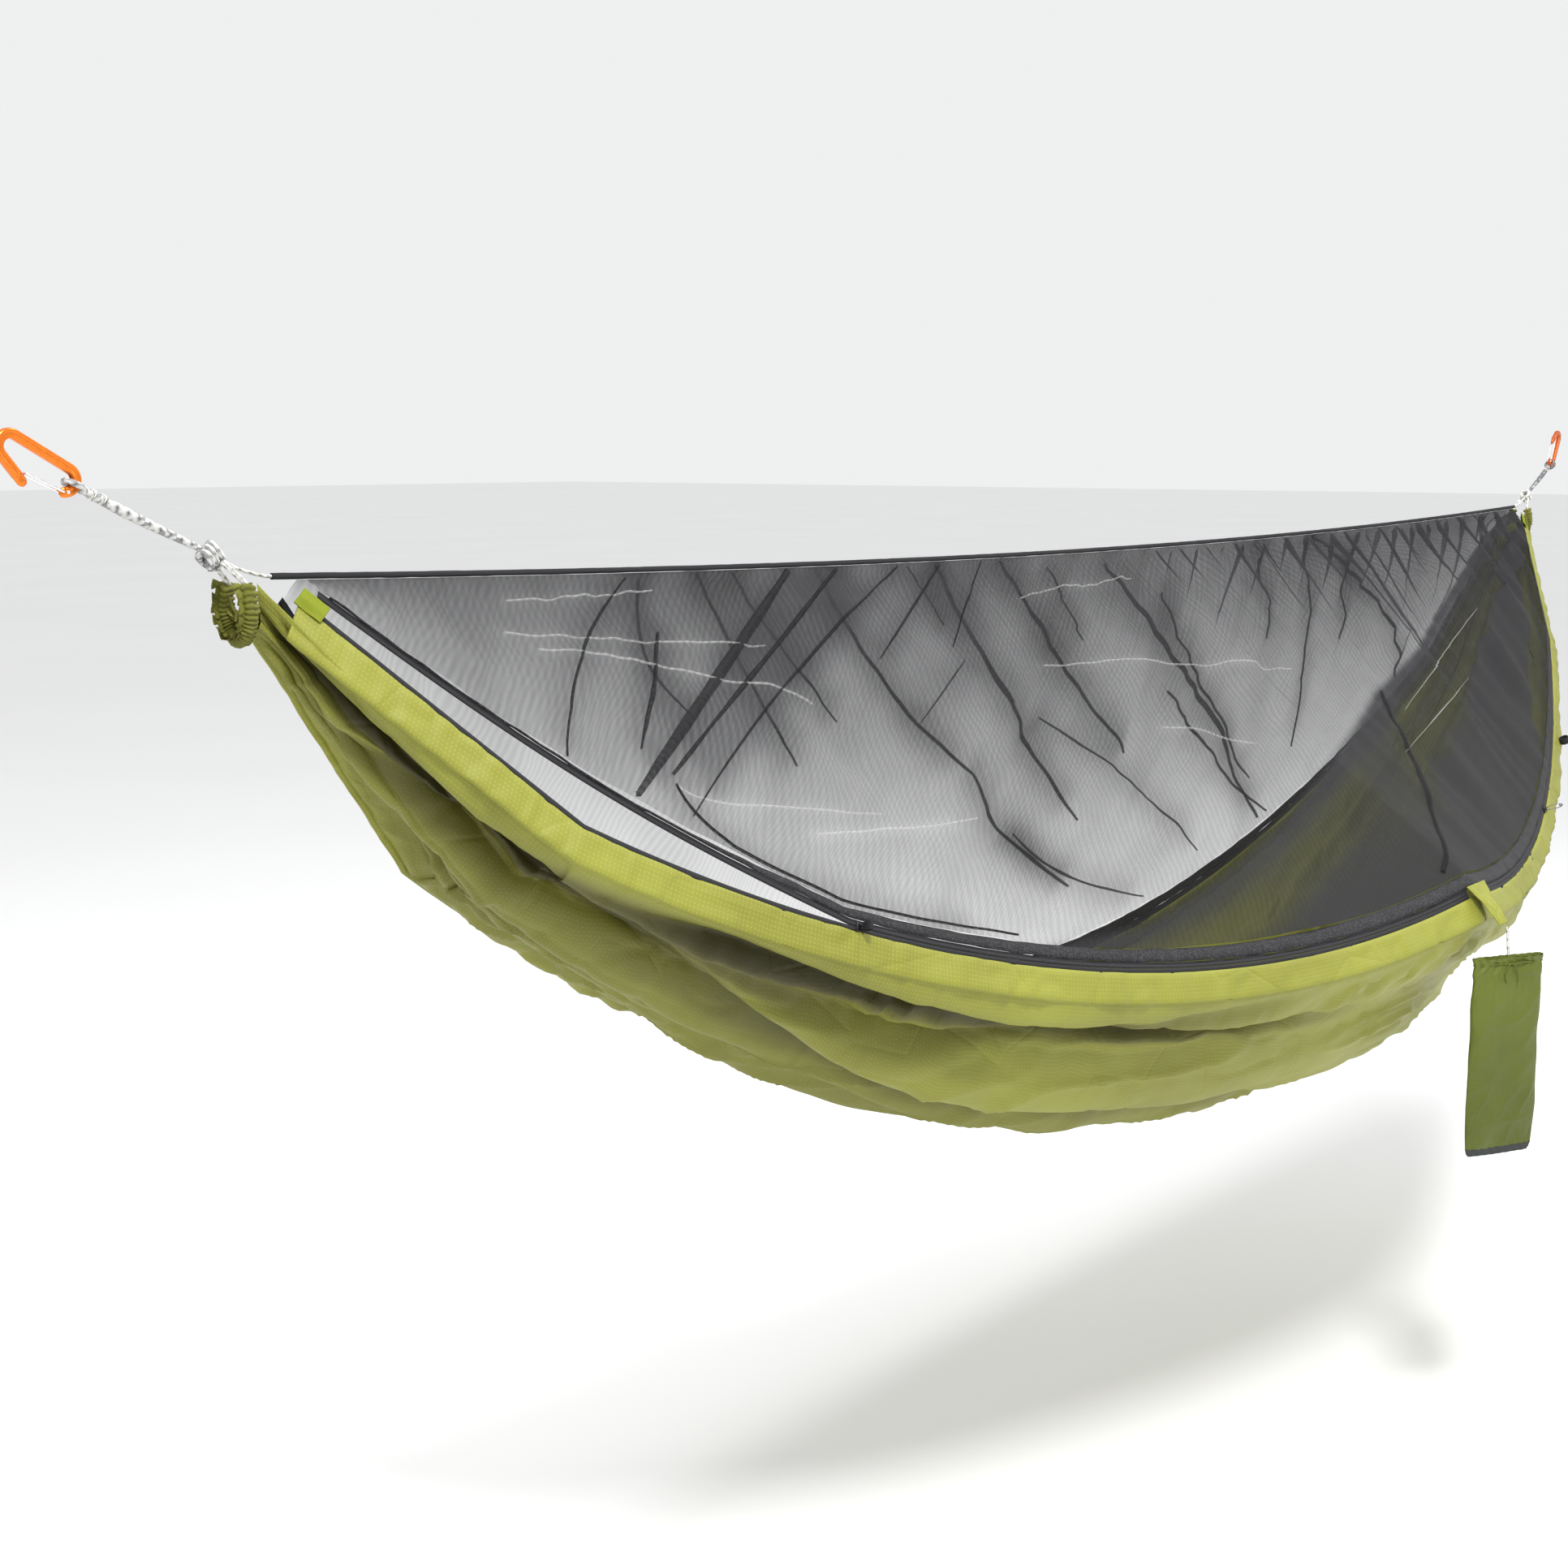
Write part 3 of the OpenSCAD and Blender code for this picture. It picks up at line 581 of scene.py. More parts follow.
# ---------------------------------------------------------------- camera, lights, floor
scene = bpy.context.scene
scene.view_settings.view_transform = "Standard"
cam = bpy.data.cameras.new("camera")
cam.lens = 47.36
cam.sensor_width = 36.0
cam.clip_start = 0.05
camera = bpy.data.objects.new("camera", cam)
scene.collection.objects.link(camera)
camera.location = Vector(O + np.array([-1.002, -1.361, 0.098]))
look = Vector((0.7612, 0.6286, -0.1594))
camera.rotation_euler = look.to_track_quat("-Z", "Y").to_euler()
scene.camera = camera

world = bpy.data.worlds.new("world")
scene.world = world
world.use_nodes = True
world.node_tree.nodes["Background"].inputs[0].default_value = (0.96, 0.965, 0.97, 1)
world.node_tree.nodes["Background"].inputs[1].default_value = 0.90


def area(name, place, aim, size, watts):
    d = bpy.data.lights.new(name, "AREA")
    d.shape = "DISK"
    d.size = size
    d.energy = watts
    ob = bpy.data.objects.new(name, d)
    scene.collection.objects.link(ob)
    ob.location = Vector(O + np.array(place))
    ob.rotation_euler = (Vector(np.array(aim) - np.array(place))).to_track_quat("-Z", "Y").to_euler()


area("key", (-0.9, -1.9, 2.9), (1.2, -0.2, -0.4), 0.7, 150)
area("top", (2.0, -0.6, 2.9), (1.5, -0.3, -0.4), 1.2, 70)
area("fill", (3.8, -2.0, 1.2), (1.8, -0.3, -0.4), 1.2, 22)


def pale_floor():
    m, nt, b = material("floor_pale")
    spots = noise_tex(nt, nt.nodes.new("ShaderNodeTexCoord").outputs["Object"], 0.7, 2.0)
    nt.links.new(ramp(nt, spots, [(0.2, (0.86,) * 3), (0.8, (0.89,) * 3)]), b.inputs["Base Color"])
    b.inputs["Roughness"].default_value = 0.9
    return m


FLOOR_Z, REACH = -1.25, 60
corners = [(-REACH, -REACH), (REACH, -REACH), (REACH, REACH), (-REACH, REACH)]
floor = mesh("floor", [(x, y, FLOOR_Z) for x, y in corners], [(0, 1, 2, 3)], mats=[pale_floor()])

# ---------------------------------------------------------------- cords
BOTH = (("left", False), ("right", True))
KNOT = np.array([-0.050, 0.0, 0.020])
ROPE_UP = math.radians(25)
ROPE_DIR = np.array([-math.cos(ROPE_UP), 0, math.sin(ROPE_UP)])
EYE = KNOT + 0.125 * ROPE_DIR
AWAY = np.array([0.0, 1.0, 0.0])


def braid(amp):
    """The wobble of a braided tube: strands that cross along both diagonals."""
    def strand(a, s, way):
        return np.abs(np.sin(np.pi * (s / BRAID_PITCH + way * 2 * a / (2 * np.pi))))

    return lambda a, s: 1 + amp * (np.maximum(strand(a, s, 1), strand(a, s, -1)) - 0.7)


def fixed(P, right=False):
    """Points of the left end in the model's frame, or mirrored to the right end."""
    return (mir(P) if right else np.asarray(P, float)) + O


def ring_round(centre, r, th, e1, e2):
    return centre + r * (np.cos(th)[:, None] * e1 + np.sin(th)[:, None] * e2)


def rope(side, right):
    mat = M["rope_r"] if right else M["rope_l"]
    lean = math.radians(35 if right else 5)
    s = np.linspace(0, 1, 110)
    path = KNOT + (0.004 + 0.116 * s)[:, None] * ROPE_DIR
    path[:, 2] -= 0.0012 * np.sin(np.pi * s)
    r = np.interp(s, [0, 0.35, 0.68, 0.85, 1.0], [0.0024, 0.0033, 0.0041, 0.0035, 0.0028])
    main = tube("suspension_rope_" + side, fixed(path, right), r, [mat], 24, (0, 1, 0), braid(0.16))
    # the eye round the carabiner's bar, and the whipping below it
    bar_dir = math.radians(25) + lean
    e1 = np.array([-math.cos(bar_dir), 0, math.sin(bar_dir)])
    ring = ring_round(EYE, 0.0078, np.linspace(0, 2 * np.pi, 56, endpoint=False), e1, AWAY)
    up = np.cross(e1, AWAY)
    eye = tube("rope_eye_" + side, fixed(ring, right), 0.0023, [mat], 16, up, braid(0.12), True)
    bands = []
    for i, at in enumerate((0.108, 0.099)):
        th = np.linspace(0, 2 * np.pi * 3, 90)
        c = KNOT + (at + 0.0012 * th / (2 * np.pi))[:, None] * ROPE_DIR
        coil = ring_round(c, 0.0036, th, np.cross(ROPE_DIR, AWAY), AWAY)
        bands.append(tube(f"whip_{side}_{i}", fixed(coil, right), 0.0007, [M["cord"]], 8, ROPE_DIR))
    whip = join("rope_whipping_" + side, *bands)
    for p in (eye, whip):
        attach(p, "hammock")
    settle(main, "hammock", "suspension_rope_" + side)
    P = fixed(path, right)


for side, right in BOTH:
    rope(side, right)


def knot(side, right):
    """Three turns of rope choked round the gathered end, with the standing turn over them."""
    mat = M["rope_l"] if not right else M["cord"]
    c = KNOT + np.array([0, 0, -0.002])
    tilt = math.radians(55)
    ax = np.array([math.sin(tilt), 0, math.cos(tilt)])
    e = np.array([math.cos(tilt), 0, -math.sin(tilt)])
    parts = []
    th = np.linspace(0, 2 * np.pi, 48, endpoint=False)
    for i, z in enumerate((-0.0052, 0.0, 0.0052)):
        r = (0.0066 + 0.0006 * np.sin(2 * th + i))[:, None]
        P = ring_round(c + z * ax, r, th, e, AWAY) + 0.0009 * np.sin(th * 2 + i)[:, None] * ax
        parts.append(tube(f"turn_{side}_{i}", fixed(P, right), 0.0029, [mat], 16, ax, braid(0.14), True))
    over = spline([c + 0.007 * e - 0.007 * ax, c + 0.0108 * e, c + 0.007 * e + 0.0075 * ax], 30)
    parts.append(tube(f"over_{side}", fixed(over, right), 0.0026, [mat], 14, (0, 1, 0), braid(0.14)))
    settle(join("choker_knot_" + side, *parts), "hammock", "choker_knot_" + side)


for side, right in BOTH:
    knot(side, right)


def rings(n, f, k, w, top):
    """Cross-sections of the cloth from near points n to far points f, each bulging outwards by k."""
    tn, tf = np.arctan2(-n[:, 1], -n[:, 2])[:, None], np.arctan2(-f[:, 1], -f[:, 2])[:, None]
    a = tn + (tf - tn) * w
    dn, df = np.hypot(n[:, 1], n[:, 2])[:, None], np.hypot(f[:, 1], f[:, 2])[:, None]
    r = (dn + (df - dn) * w) * (1 + k * (1 - (2 * w - 1) ** 2))
    return np.stack([n[:, :1] + (f[:, :1] - n[:, :1]) * w, -r * np.sin(a), top - r * np.cos(a)], -1)


def gather_ring(w):
    """The cloth's end at the gather, w from 0 at the near side to 1 at the far side."""
    return rings(GATHER_N[None], GATHER_F[None], 1.7, w[None], 0.016)[0]


def small_cord(name, P, radius, sides, up, wobble=None, body="hammock"):
    """A thin cord along P."""
    ob = tube(name, P, radius, [M["cord"]], sides, up, wobble)
    settle(ob, body, name)


wg = np.linspace(0, 1, 60)
gather_line = gather_ring(wg) - np.array([0, 0, 0.002])
for side, right in BOTH:
    start, end = KNOT + [0.006, -0.006, -0.006], KNOT + [0.006, 0.006, -0.006]
    loop = spline(np.concatenate([[start], gather_line[::6], gather_line[-1:], [end]]), 120)
    small_cord("gather_cord_" + side, fixed(loop, right), 0.0023, 12, (1, 0, 0.2), braid(0.1))
    tie = spline([KNOT + [0.004, 0, -0.002], [-0.030, 0, 0.009], [-0.012, 0, 0.003], [0.001, 0, 0]], 40)
    small_cord("ridge_tie_" + side, fixed(tie, right), 0.0015, 10, (0, 1, 0), braid(0.1))

ridge_line = ridge(np.linspace(0.002, L - 0.002, 90)) + O
small_cord("ridge_cord", ridge_line, 0.0015, 8, (0, 0, 1))

TETHER_TOP = CORNER + np.array([0, -0.039, -0.038])
SACK_TOP = TETHER_TOP + np.array([0, -0.004, -0.034])
hanging = spline([TETHER_TOP, TETHER_TOP + [0.0008, -0.0015, -0.012], TETHER_TOP + [-0.0006, -0.003, -0.024],
                  SACK_TOP + [0, 0, 0.001]], 40) + O
small_cord("sack_tether", hanging, 0.0014, 10, (1, 0, 0), braid(0.12), body="tether")

# ---------------------------------------------------------------- the cloth
CLOTH_AT = 0.036


def ruffle(s, seed):
    """Small cross puckers that the zip's tape pulls into an edge, in metres."""
    return 0.0009 * noise2(s / 0.011, 0.3 + 0 * s, seed) + 0.0014 * noise2(s / 0.030, 0.7 + 0 * s, seed + 3)


cols = 240
w = np.linspace(0, 1, cols)
ring_a = gather_ring(w) + np.array([0.009, 0, 0])


def mid_rows(u):
    return rings(near_rim(u, CLOTH_AT), rim("far", u, CLOTH_AT), BELLY, w[None, :], 0.0)


ring_c, ring_d = mid_rows(np.array([0.0, 0.05]))
ring_b = (ring_a + ring_c) / 2 - np.array([0, 0, 0.004])


def end_rows(n):
    """Rings from the gather to the start of the rims."""
    ctrl = [2 * ring_a - ring_b + [0, 0, 0.02], ring_a, ring_b, ring_c, ring_d]
    out = []
    for g in np.linspace(0, 2, n, endpoint=False):
        i = int(g)
        out.append(smooth_between(ctrl[i:i + 4], g - i))
    return np.array(out)


n_end_l, n_mid, n_end_r = ((100, 245, 60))
t = np.linspace(0, 1, n_mid)
u_mid = t - 0.055 * np.sin(2 * np.pi * t)


def meet_hems(rows):
    """Brings the cloth's edges to the hems where the rims run straight to the gather."""
    v = -1 + np.arange(len(rows)) / len(rows)
    a = lengths(rows, 1)
    on = smooth(-0.97, -0.55, v)[:, None, None]
    for side_, edge_, dist in (("left", 0, a), ("far", -1, a[:, -1:] - a)):
        fix = (rim(side_, v, 0.033) - rows[:, edge_])[:, None, :]
        rows = rows + on * fix * np.exp(-((dist / 0.05) ** 1.5))[..., None]
    return rows


left_rows = meet_hems(end_rows(n_end_l))
right_rows = mir(meet_hems(end_rows(n_end_r)))[::-1]
base = np.concatenate([left_rows, mid_rows(u_mid), right_rows])
m, n = base.shape[:2]

along = lengths(base, 0)
across = lengths(base, 1)
width = across[:, -1:]
q = across / width
mid_line = along[:, n // 2]
d_left = np.broadcast_to(mid_line[:, None], q.shape)
d_right = mid_line[-1] - d_left
di = unit(np.gradient(base, axis=0))
dj = unit(np.gradient(base, axis=1))
out = -unit(np.cross(di, dj))

h = np.zeros_like(q)
slide = np.zeros_like(q)
edge_n, edge_f = across, width - across
brim = np.minimum(0.045, 0.10 * width + 0.001)
keep = smooth(0.0, 1.0, edge_n / brim) * smooth(0.0, 1.0, edge_f / brim)
shade = np.zeros_like(q)
ends = (-1 + np.arange(n_end_l) / n_end_l, 1 + (np.arange(n_end_r) + 1) / n_end_r)
u_row = np.concatenate([ends[0], u_mid, ends[1]])[:, None]


def pleats(count, cap, decay, steep, seed, power=1.0):
    """Folds fanning out of both gathers: round crests, leaning over sharp valleys."""
    global h, slide
    for d, sd in ((d_left, seed), (d_right, seed + 40)):
        lam = width / count
        warp = 0.30 * noise2(q * count * 0.45, d / 0.35, sd)
        warp = (warp + 0.16 * noise2(q * count * 0.9, d / 0.12, sd + 7)) / count
        amp = np.minimum(steep * lam, cap) * np.exp(-((d / decay) ** 1.4))
        amp = amp * (0.72 + 0.55 * noise2(q * count * 0.6, d / 0.22, sd + 11))
        ph = 2 * np.pi * count * (q + warp) + 1.7 * sd
        h += amp * (2 * np.abs(np.sin(ph / 2)) ** power - 1.27)
        slide += -0.55 * amp * np.sin(ph)


pleats(34, 0.0030, 0.075, 0.26, 1)
pleats(19, 0.0065, 0.21, 0.24, 2)
pleats(11, 0.0120, 0.50, 0.20, 3)
pleats(6.5, 0.0200, 1.05, 0.15, 4, 1.2)
# long shallow folds that run the whole way
ph = 2 * np.pi * (4.4 * q + 0.35 * noise2(q * 2.0, d_left / 0.9, 21)) + 0.9
h += 0.010 * np.sin(ph) * smooth(0.1, 0.7, np.minimum(d_left, d_right))
h *= keep
h -= 0.006 * keep
slide *= keep


def crease(points, depth, wide, lean=0.5, dark=0.6):
    """A deep valley, over which the cloth above it leans.

    It follows a line of (place along the rim from -1 to 2, share of the way across, strength); dark is how
    much painted shade it lays over the valley and its lower flank.
    """
    global h, slide, shade
    at, side_q, strength = np.array(points, float).T
    qc = np.interp(u_row, at, side_q)
    dep = np.interp(u_row, at, strength)
    wid = np.minimum(wide * (0.45 + 0.55 * smooth(0, 0.4, d_left)), 0.085 * width)
    off = (q - qc) * width
    edge = smooth(0.0, 0.012, edge_n)
    drop = dep * np.minimum(depth, 2.2 * wid)
    h -= drop * np.exp(-((off / wid) ** 2)) * edge
    above = np.exp(-(((off + 1.3 * wid) / (1.1 * wid)) ** 2))
    h += 0.25 * drop * above * edge
    slide += lean * drop * above * edge
    # painted shade over the valley and its lower flank, which the material mixes into the colour
    shadow = np.exp(-(np.abs((off - 0.35 * wid) / (1.15 * wid)) ** 3))
    shade = np.maximum(shade, dark * dep * shadow * edge)


# the main valley under the near hem, from the left gather to where it runs out
crease([(-1, 0.20, 0.5), (-0.93, 0.25, 0.9), (-0.77, 0.205, 1.0), (-0.57, 0.185, 1.0), (-0.33, 0.185, 1.0),
        (-0.08, 0.165, 1.0), (0.03, 0.19, 0.9), (0.07, 0.24, 0.7), (0.12, 0.27, 0.45), (0.18, 0.33, 0.2),
        (0.3, 0.36, 0)], 0.050, 0.026, 0.25, 0.97)
# the shorter ones beside and below it
crease([(-0.5, 0.06, 0), (-0.1, 0.045, 0.3), (0.02, 0.035, 0.8), (0.07, 0.045, 1.0), (0.14, 0.067, 1.0),
        (0.20, 0.078, 0.9), (0.27, 0.055, 0.6), (0.38, 0.02, 0)], 0.032, 0.015, 0.4, 0.92)
crease([(0.10, 0.20, 0), (0.18, 0.16, 0.5), (0.23, 0.105, 0.8), (0.28, 0.094, 1.0), (0.34, 0.10, 0.8),
        (0.45, 0.12, 0)], 0.028, 0.015, 0.4, 0.85)
crease([(-1, 0.42, 0.3), (-0.75, 0.42, 0.7), (-0.57, 0.34, 1.0), (-0.40, 0.30, 1.0), (-0.18, 0.285, 0.9),
        (0.04, 0.31, 0.5), (0.16, 0.37, 0)], 0.030, 0.016, 0.3, 0.7)
crease([(-0.1, 0.26, 0), (0.06, 0.29, 0.6), (0.14, 0.32, 1.0), (0.21, 0.35, 1.0), (0.28, 0.345, 0.8),
        (0.45, 0.40, 0.5), (0.7, 0.38, 0)], 0.040, 0.026, 0.4, 0.75)
crease([(-0.35, 0.115, 0), (-0.12, 0.10, 0.5), (0.02, 0.105, 0.8), (0.10, 0.14, 0.7), (0.16, 0.17, 0.3),
        (0.22, 0.19, 0)], 0.026, 0.014, 0.3, 0.85)
crease([(-1, 0.07, 0.5), (-0.8, 0.075, 0.8), (-0.6, 0.07, 0.4), (-0.4, 0.06, 0)], 0.012, 0.010, 0.6, 0.5)
# long soft ones along the belly and up the far side
crease([(-1, 0.58, 0.4), (-0.4, 0.55, 0.8), (0.2, 0.52, 0.9), (0.6, 0.55, 0.9), (1.2, 0.52, 0.7),
        (2, 0.5, 0.2)], 0.034, 0.034, 0.5, 0.35)
crease([(-1, 0.72, 0.4), (-0.3, 0.70, 0.9), (0.3, 0.72, 0.8), (0.8, 0.70, 0.7), (1.5, 0.72, 0.4)],
       0.034, 0.030, 0.5, 0.4)
crease([(-0.9, 0.86, 0.3), (-0.2, 0.85, 0.8), (0.2, 0.87, 0.6), (0.5, 0.88, 0)], 0.026, 0.020, 0.5, 0.4)
crease([(0.45, 0.30, 0), (0.8, 0.26, 0.6), (1.2, 0.24, 0.9), (2, 0.26, 0.4)], 0.026, 0.026, 0.5, 0.35)
crease([(0.7, 0.13, 0), (1.0, 0.12, 0.7), (1.5, 0.13, 0.9), (2, 0.14, 0.4)], 0.022, 0.018, 0.6, 0.5)
crease([(0.6, 0.84, 0), (1.0, 0.85, 0.8), (1.6, 0.86, 0.8), (2, 0.86, 0.4)], 0.024, 0.018, 0.5, 0.5)

# wrinkles: short cross puckers by the rims, soft crumples everywhere
s_near = np.broadcast_to(along[:, :1], q.shape)
s_far = np.broadcast_to(along[:, -1:], q.shape)
h += ruffle(s_near, 5) * np.exp(-edge_n / 0.022) + ruffle(s_far, 9) * np.exp(-edge_f / 0.022)
pucker = np.abs(noise2(s_near / 0.030 + edge_n / 0.05, edge_n / 0.070, 12)) * 2 - 0.7
patchy = 0.4 + noise2(s_near / 0.12, edge_n / 0.3, 13)
h += 0.0060 * pucker * np.exp(-((edge_n - 0.040) / 0.038) ** 2) * patchy * smooth(0.002, 0.02, edge_n)
pucker = np.abs(noise2(s_near / 0.030, edge_f / 0.070, 14)) * 2 - 0.7
h += 0.0050 * pucker * np.exp(-((edge_f - 0.035) / 0.030) ** 2) * smooth(0.002, 0.02, edge_f)
ridged = (1 - np.abs(noise2(along / 0.13 + 0.6 * across / 0.10, across / 0.040, 15))) ** 5
h += 0.0062 * ridged * keep
ridged = (1 - np.abs(noise2(along / 0.055 - across / 0.09, across / 0.032, 16))) ** 5
h -= 0.0034 * ridged * keep
h += 0.0035 * noise2(along / 0.16, across / 0.06, 17) * keep
cloth = base + h[..., None] * out + slide[..., None] * dj

# painted shade for each place, from folds' shadows, pleat valleys and the underside, and how puckered it is
# painted shade in the pleats' valleys near the gathers
pleat_shade = smooth(0.004, 0.016, -h) * np.exp(-np.minimum(d_left, d_right) / 0.35) * 0.55
# painted shade on the belly's underside, stronger towards the left end, where the cloth faces away from the
# lamps
under = 0.30 * smooth(0.24, 0.40, q) * smooth(0.95, 0.60, q) * smooth(0.65, 0.2, u_row)
shade = np.clip(np.maximum(np.maximum(shade, pleat_shade), under), 0, 0.95)
by_hems = np.exp(-(((edge_n - 0.030) / 0.045) ** 2)) + np.exp(-(((edge_f - 0.030) / 0.045) ** 2))
rumple = by_hems * (0.45 + 0.55 * np.clip(noise2(along / 0.10, across / 0.2, 19) + 0.5, 0, 1))
body = sheet_mesh("body_cloth", cloth + O, [M["green"]])
add_place(body, shade, rumple)
settle(body, "hammock", "body_fabric")


def hem(name, side, v, node):
    """The doubled edge of the cloth outside the zip, with its cross puckers."""
    s_line = lengths(rim(side if side == "far" else "left", v)[:, None, :], 0)[:, 0][:, None]
    lo_out, hi_out, thick, k = 0.0046, TAPE + HEM - 0.0005, 0.0030, 9
    outs = np.concatenate([np.linspace(lo_out, hi_out, k), np.linspace(hi_out, lo_out, k)])
    ups = np.concatenate([np.full(k, thick / 2), np.full(k, -thick / 2)])
    ups = ups * (0.3 + 0.7 * smooth(0, 0.0025, np.minimum(outs - lo_out, hi_out - outs)))
    seed = 9 if side == "far" else 5
    share = ((outs - lo_out) / (hi_out - lo_out))[None, :]
    wavy = 1.3 * ruffle(s_line + 0.002 * share, seed + (side == "right")) * (0.35 + 0.65 * share)
    pinch = 0.0024 * np.abs(noise2(s_line / 0.026 + share * 0.6, share * 1.3, seed + 2))
    up = ups[None, :] + wavy + np.where(ups > 0, pinch, 0)
    P = np.stack([rim(side, v, o, up[:, i]) for i, o in enumerate(outs)], 1) + O
    ob = bar_mesh(name, P, pair(s_line, (outs - lo_out)[None, :]), [M["hem"]])
    add_place(ob, np.zeros(P.shape[:2]), 0.8)
    settle(ob, "hammock", node)


nv = 620
v_near = np.concatenate([np.linspace(-0.97, 0, 140, endpoint=False), np.linspace(0, 0.996, nv)])
v_far = np.linspace(-0.97, 0, 100, endpoint=False), np.linspace(0, 1, 2 * nv), np.linspace(1, 1.97, 101)[1:]
hem("hem_near_left", "left", v_near, "rim_hem_near_left")
hem("hem_near_right", "right", v_near, "rim_hem_near_right")
hem("hem_far", "far", np.concatenate(v_far), "rim_hem_far")

def channel(name, right):
    """The end of the cloth, scrunched on its cord: a puckered tube and the short frill behind it."""
    s = np.linspace(0, 1, 420)
    path = np.array([np.interp(s, wg, gather_line[:, i]) for i in range(3)]).T + np.array([0.0, 0, 0.001])
    t_, a_, b_ = frames(path, (1, 0, 0.2))
    S, A = s[:, None], np.linspace(0, 2 * np.pi, 28, endpoint=False)[None, :]
    ph = 2 * np.pi * 30 * (S + 0.012 * noise2(S * 9, A * 0.8, 31))
    scrunch = 0.34 * (np.abs(np.sin(ph / 2 + 0.35 * np.sin(A))) - 0.6) + 0.16 * noise2(S * 22, A * 1.2, 33)
    P = fixed(around(path, 0.0060 * (1 + scrunch), A, a_, b_), right)
    roll = bar_mesh(name, P, pair(S * 1.3, A * 0.02), [M["gather"]])
    # frill: the cloth's raw end past the channel, crumpled
    rows = []
    aside = unit(np.cross(t_, [1, 0, 0]))
    for e in np.linspace(0, 1, 9):
        reach = (0.004 + 0.0075 * e) * (1 + 0.25 * noise2(s * 16, 0 * s, 37))
        zig = 0.0034 * e * np.sin(2 * np.pi * 21 * s + 0.9 * np.sin(7 * s))
        zig += 0.002 * e * noise2(s * 30, e + 0 * s, 35)
        p = path + np.array([-1, 0, 0.12]) * reach[:, None] + zig[:, None] * t_
        rows.append(p + (0.0022 * e * np.sin(2 * np.pi * 13 * s + 2))[:, None] * aside)
    frill = sheet_mesh(name + "_frill", fixed(np.stack(rows, 1), right), [M["gather"]])
    # the bunched cloth that closes the ring of the cord
    middle, rows = path.mean(0), []
    for e in np.linspace(0, 0.97, 12):
        fall = np.array([-0.0045, 0, 0]) * (0.4 + 0.6 * np.sin(2 * np.pi * 15 * s + 3 * e))[:, None]
        bunch = (0.0016 * noise2(s * 26, 4 * e + 0 * s, 39))[:, None]
        rows.append(path * (1 - e) + middle * e + fall * (1 - 0.7 * e) + bunch)
    cap = sheet_mesh(name + "_cap", fixed(np.stack(rows, 1), right), [M["gather"]])
    return join(name, roll, frill, cap)


for side, right in BOTH:
    settle(channel("end_roll_" + side, right), "hammock", "end_channel_" + side)

# ---------------------------------------------------------------- zips
TOOTH = 0.0024
NET_IN = 0.0062


def zip_half(name, node, side, v, d, fn=None):
    """Tape and coil on one side of a zip, d 1 outwards or -1 inwards. The coil's turns are raised ridges."""
    fn = fn or (lambda v_, out_, up_: rim(side, v_, out_, up_))
    s = lengths(fn(v, 0.0, 0.0)[:, None, :], 0)[:, 0]
    g, c = 0.0002, 0.0034
    edge = TAPE if d > 0 else NET_IN
    sec = [(g, -0.0009), (0.5 * (g + c), -0.0012), (c, -0.0008), (c + 0.0004, -0.0005), (edge, -0.0005),
           (edge, 0.0005), (c + 0.0004, 0.0005), (c, 0.0008), (0.5 * (g + c), 0.0013), (g, 0.0009)]
    turns = 0.70 + 0.30 * (0.5 + 0.5 * np.sin(2 * np.pi * s / TOOTH))
    wav = 0.0007 * noise2(s / 0.02, 0 * s, 41 if d > 0 else 43)
    rows = []
    for i, (o, up) in enumerate(sec):
        on_coil = i in (0, 1, 2, 7, 8, 9)
        rows.append(fn(v, d * o, up * (turns if on_coil else 1.0) + (wav if i in (4, 5) else 0)))
    P = np.stack(rows[::d], 1) + O
    o_uv = np.array([o for o, _ in sec])[::d]
    around_mat = [0 if j in (3, 4, 5) else 1 for j in range(len(sec))]
    mats = [M["tape"], M["coil"]]
    ob = bar_mesh(name, P, pair(s[:, None], o_uv[None, :]), mats, around_mat * (len(v) - 1) + [0, 0])
    settle(ob, "hammock", node)


OPEN_TO = LEFT_AT - 0.01


def net_line(v):
    """The near net's edge on the left half: on the rim past the slider, straight to the corner before it."""
    v = np.asarray(v, float)
    a, b = RIM_START + [0, 0, 0.010], rim("left", np.array(OPEN_TO))
    k = ((v + 1) / (OPEN_TO + 1))[..., None]
    free = a + (b - a) * np.clip(k, 0, 1)
    sag = np.array([0, -0.003, -0.020]) * np.sin(np.pi * np.clip(k, 0, 1))
    return np.where((v >= OPEN_TO)[..., None], rim("left", v), free + sag)


def net_zip(v, o, up):
    v = np.asarray(v, float)
    vv = np.maximum(v, OPEN_TO)
    od = rim("left", vv, 1.0) - rim("left", vv)
    nd = rim("left", vv, 0.0, 1.0) - rim("left", vv)
    return net_line(v) + np.asarray(o)[..., None] * od + np.asarray(up)[..., None] * nd


nz = 2300
vz = np.concatenate([np.linspace(-0.95, 0, 480, endpoint=False), np.linspace(0, 0.985, nz)])
vzf = np.linspace(-0.95, 0, 400, endpoint=False), np.linspace(0, 1, 2 * nz), np.linspace(1, 1.95, 401)[1:]
zip_half("zip_left_outer", "zip_tape_left_body", "left", vz, 1)
zip_half("zip_left_inner", "zip_tape_left_net", "left", vz, -1, net_zip)
zip_half("zip_right_outer", "zip_tape_right_body", "right", vz, 1)
zip_half("zip_right_inner", "zip_tape_right_net", "right", vz, -1)
zip_half("zip_far_outer", "zip_tape_far_body", "far", np.concatenate(vzf), 1)
zip_half("zip_far_inner", "zip_tape_far_net", "far", np.concatenate(vzf), -1)

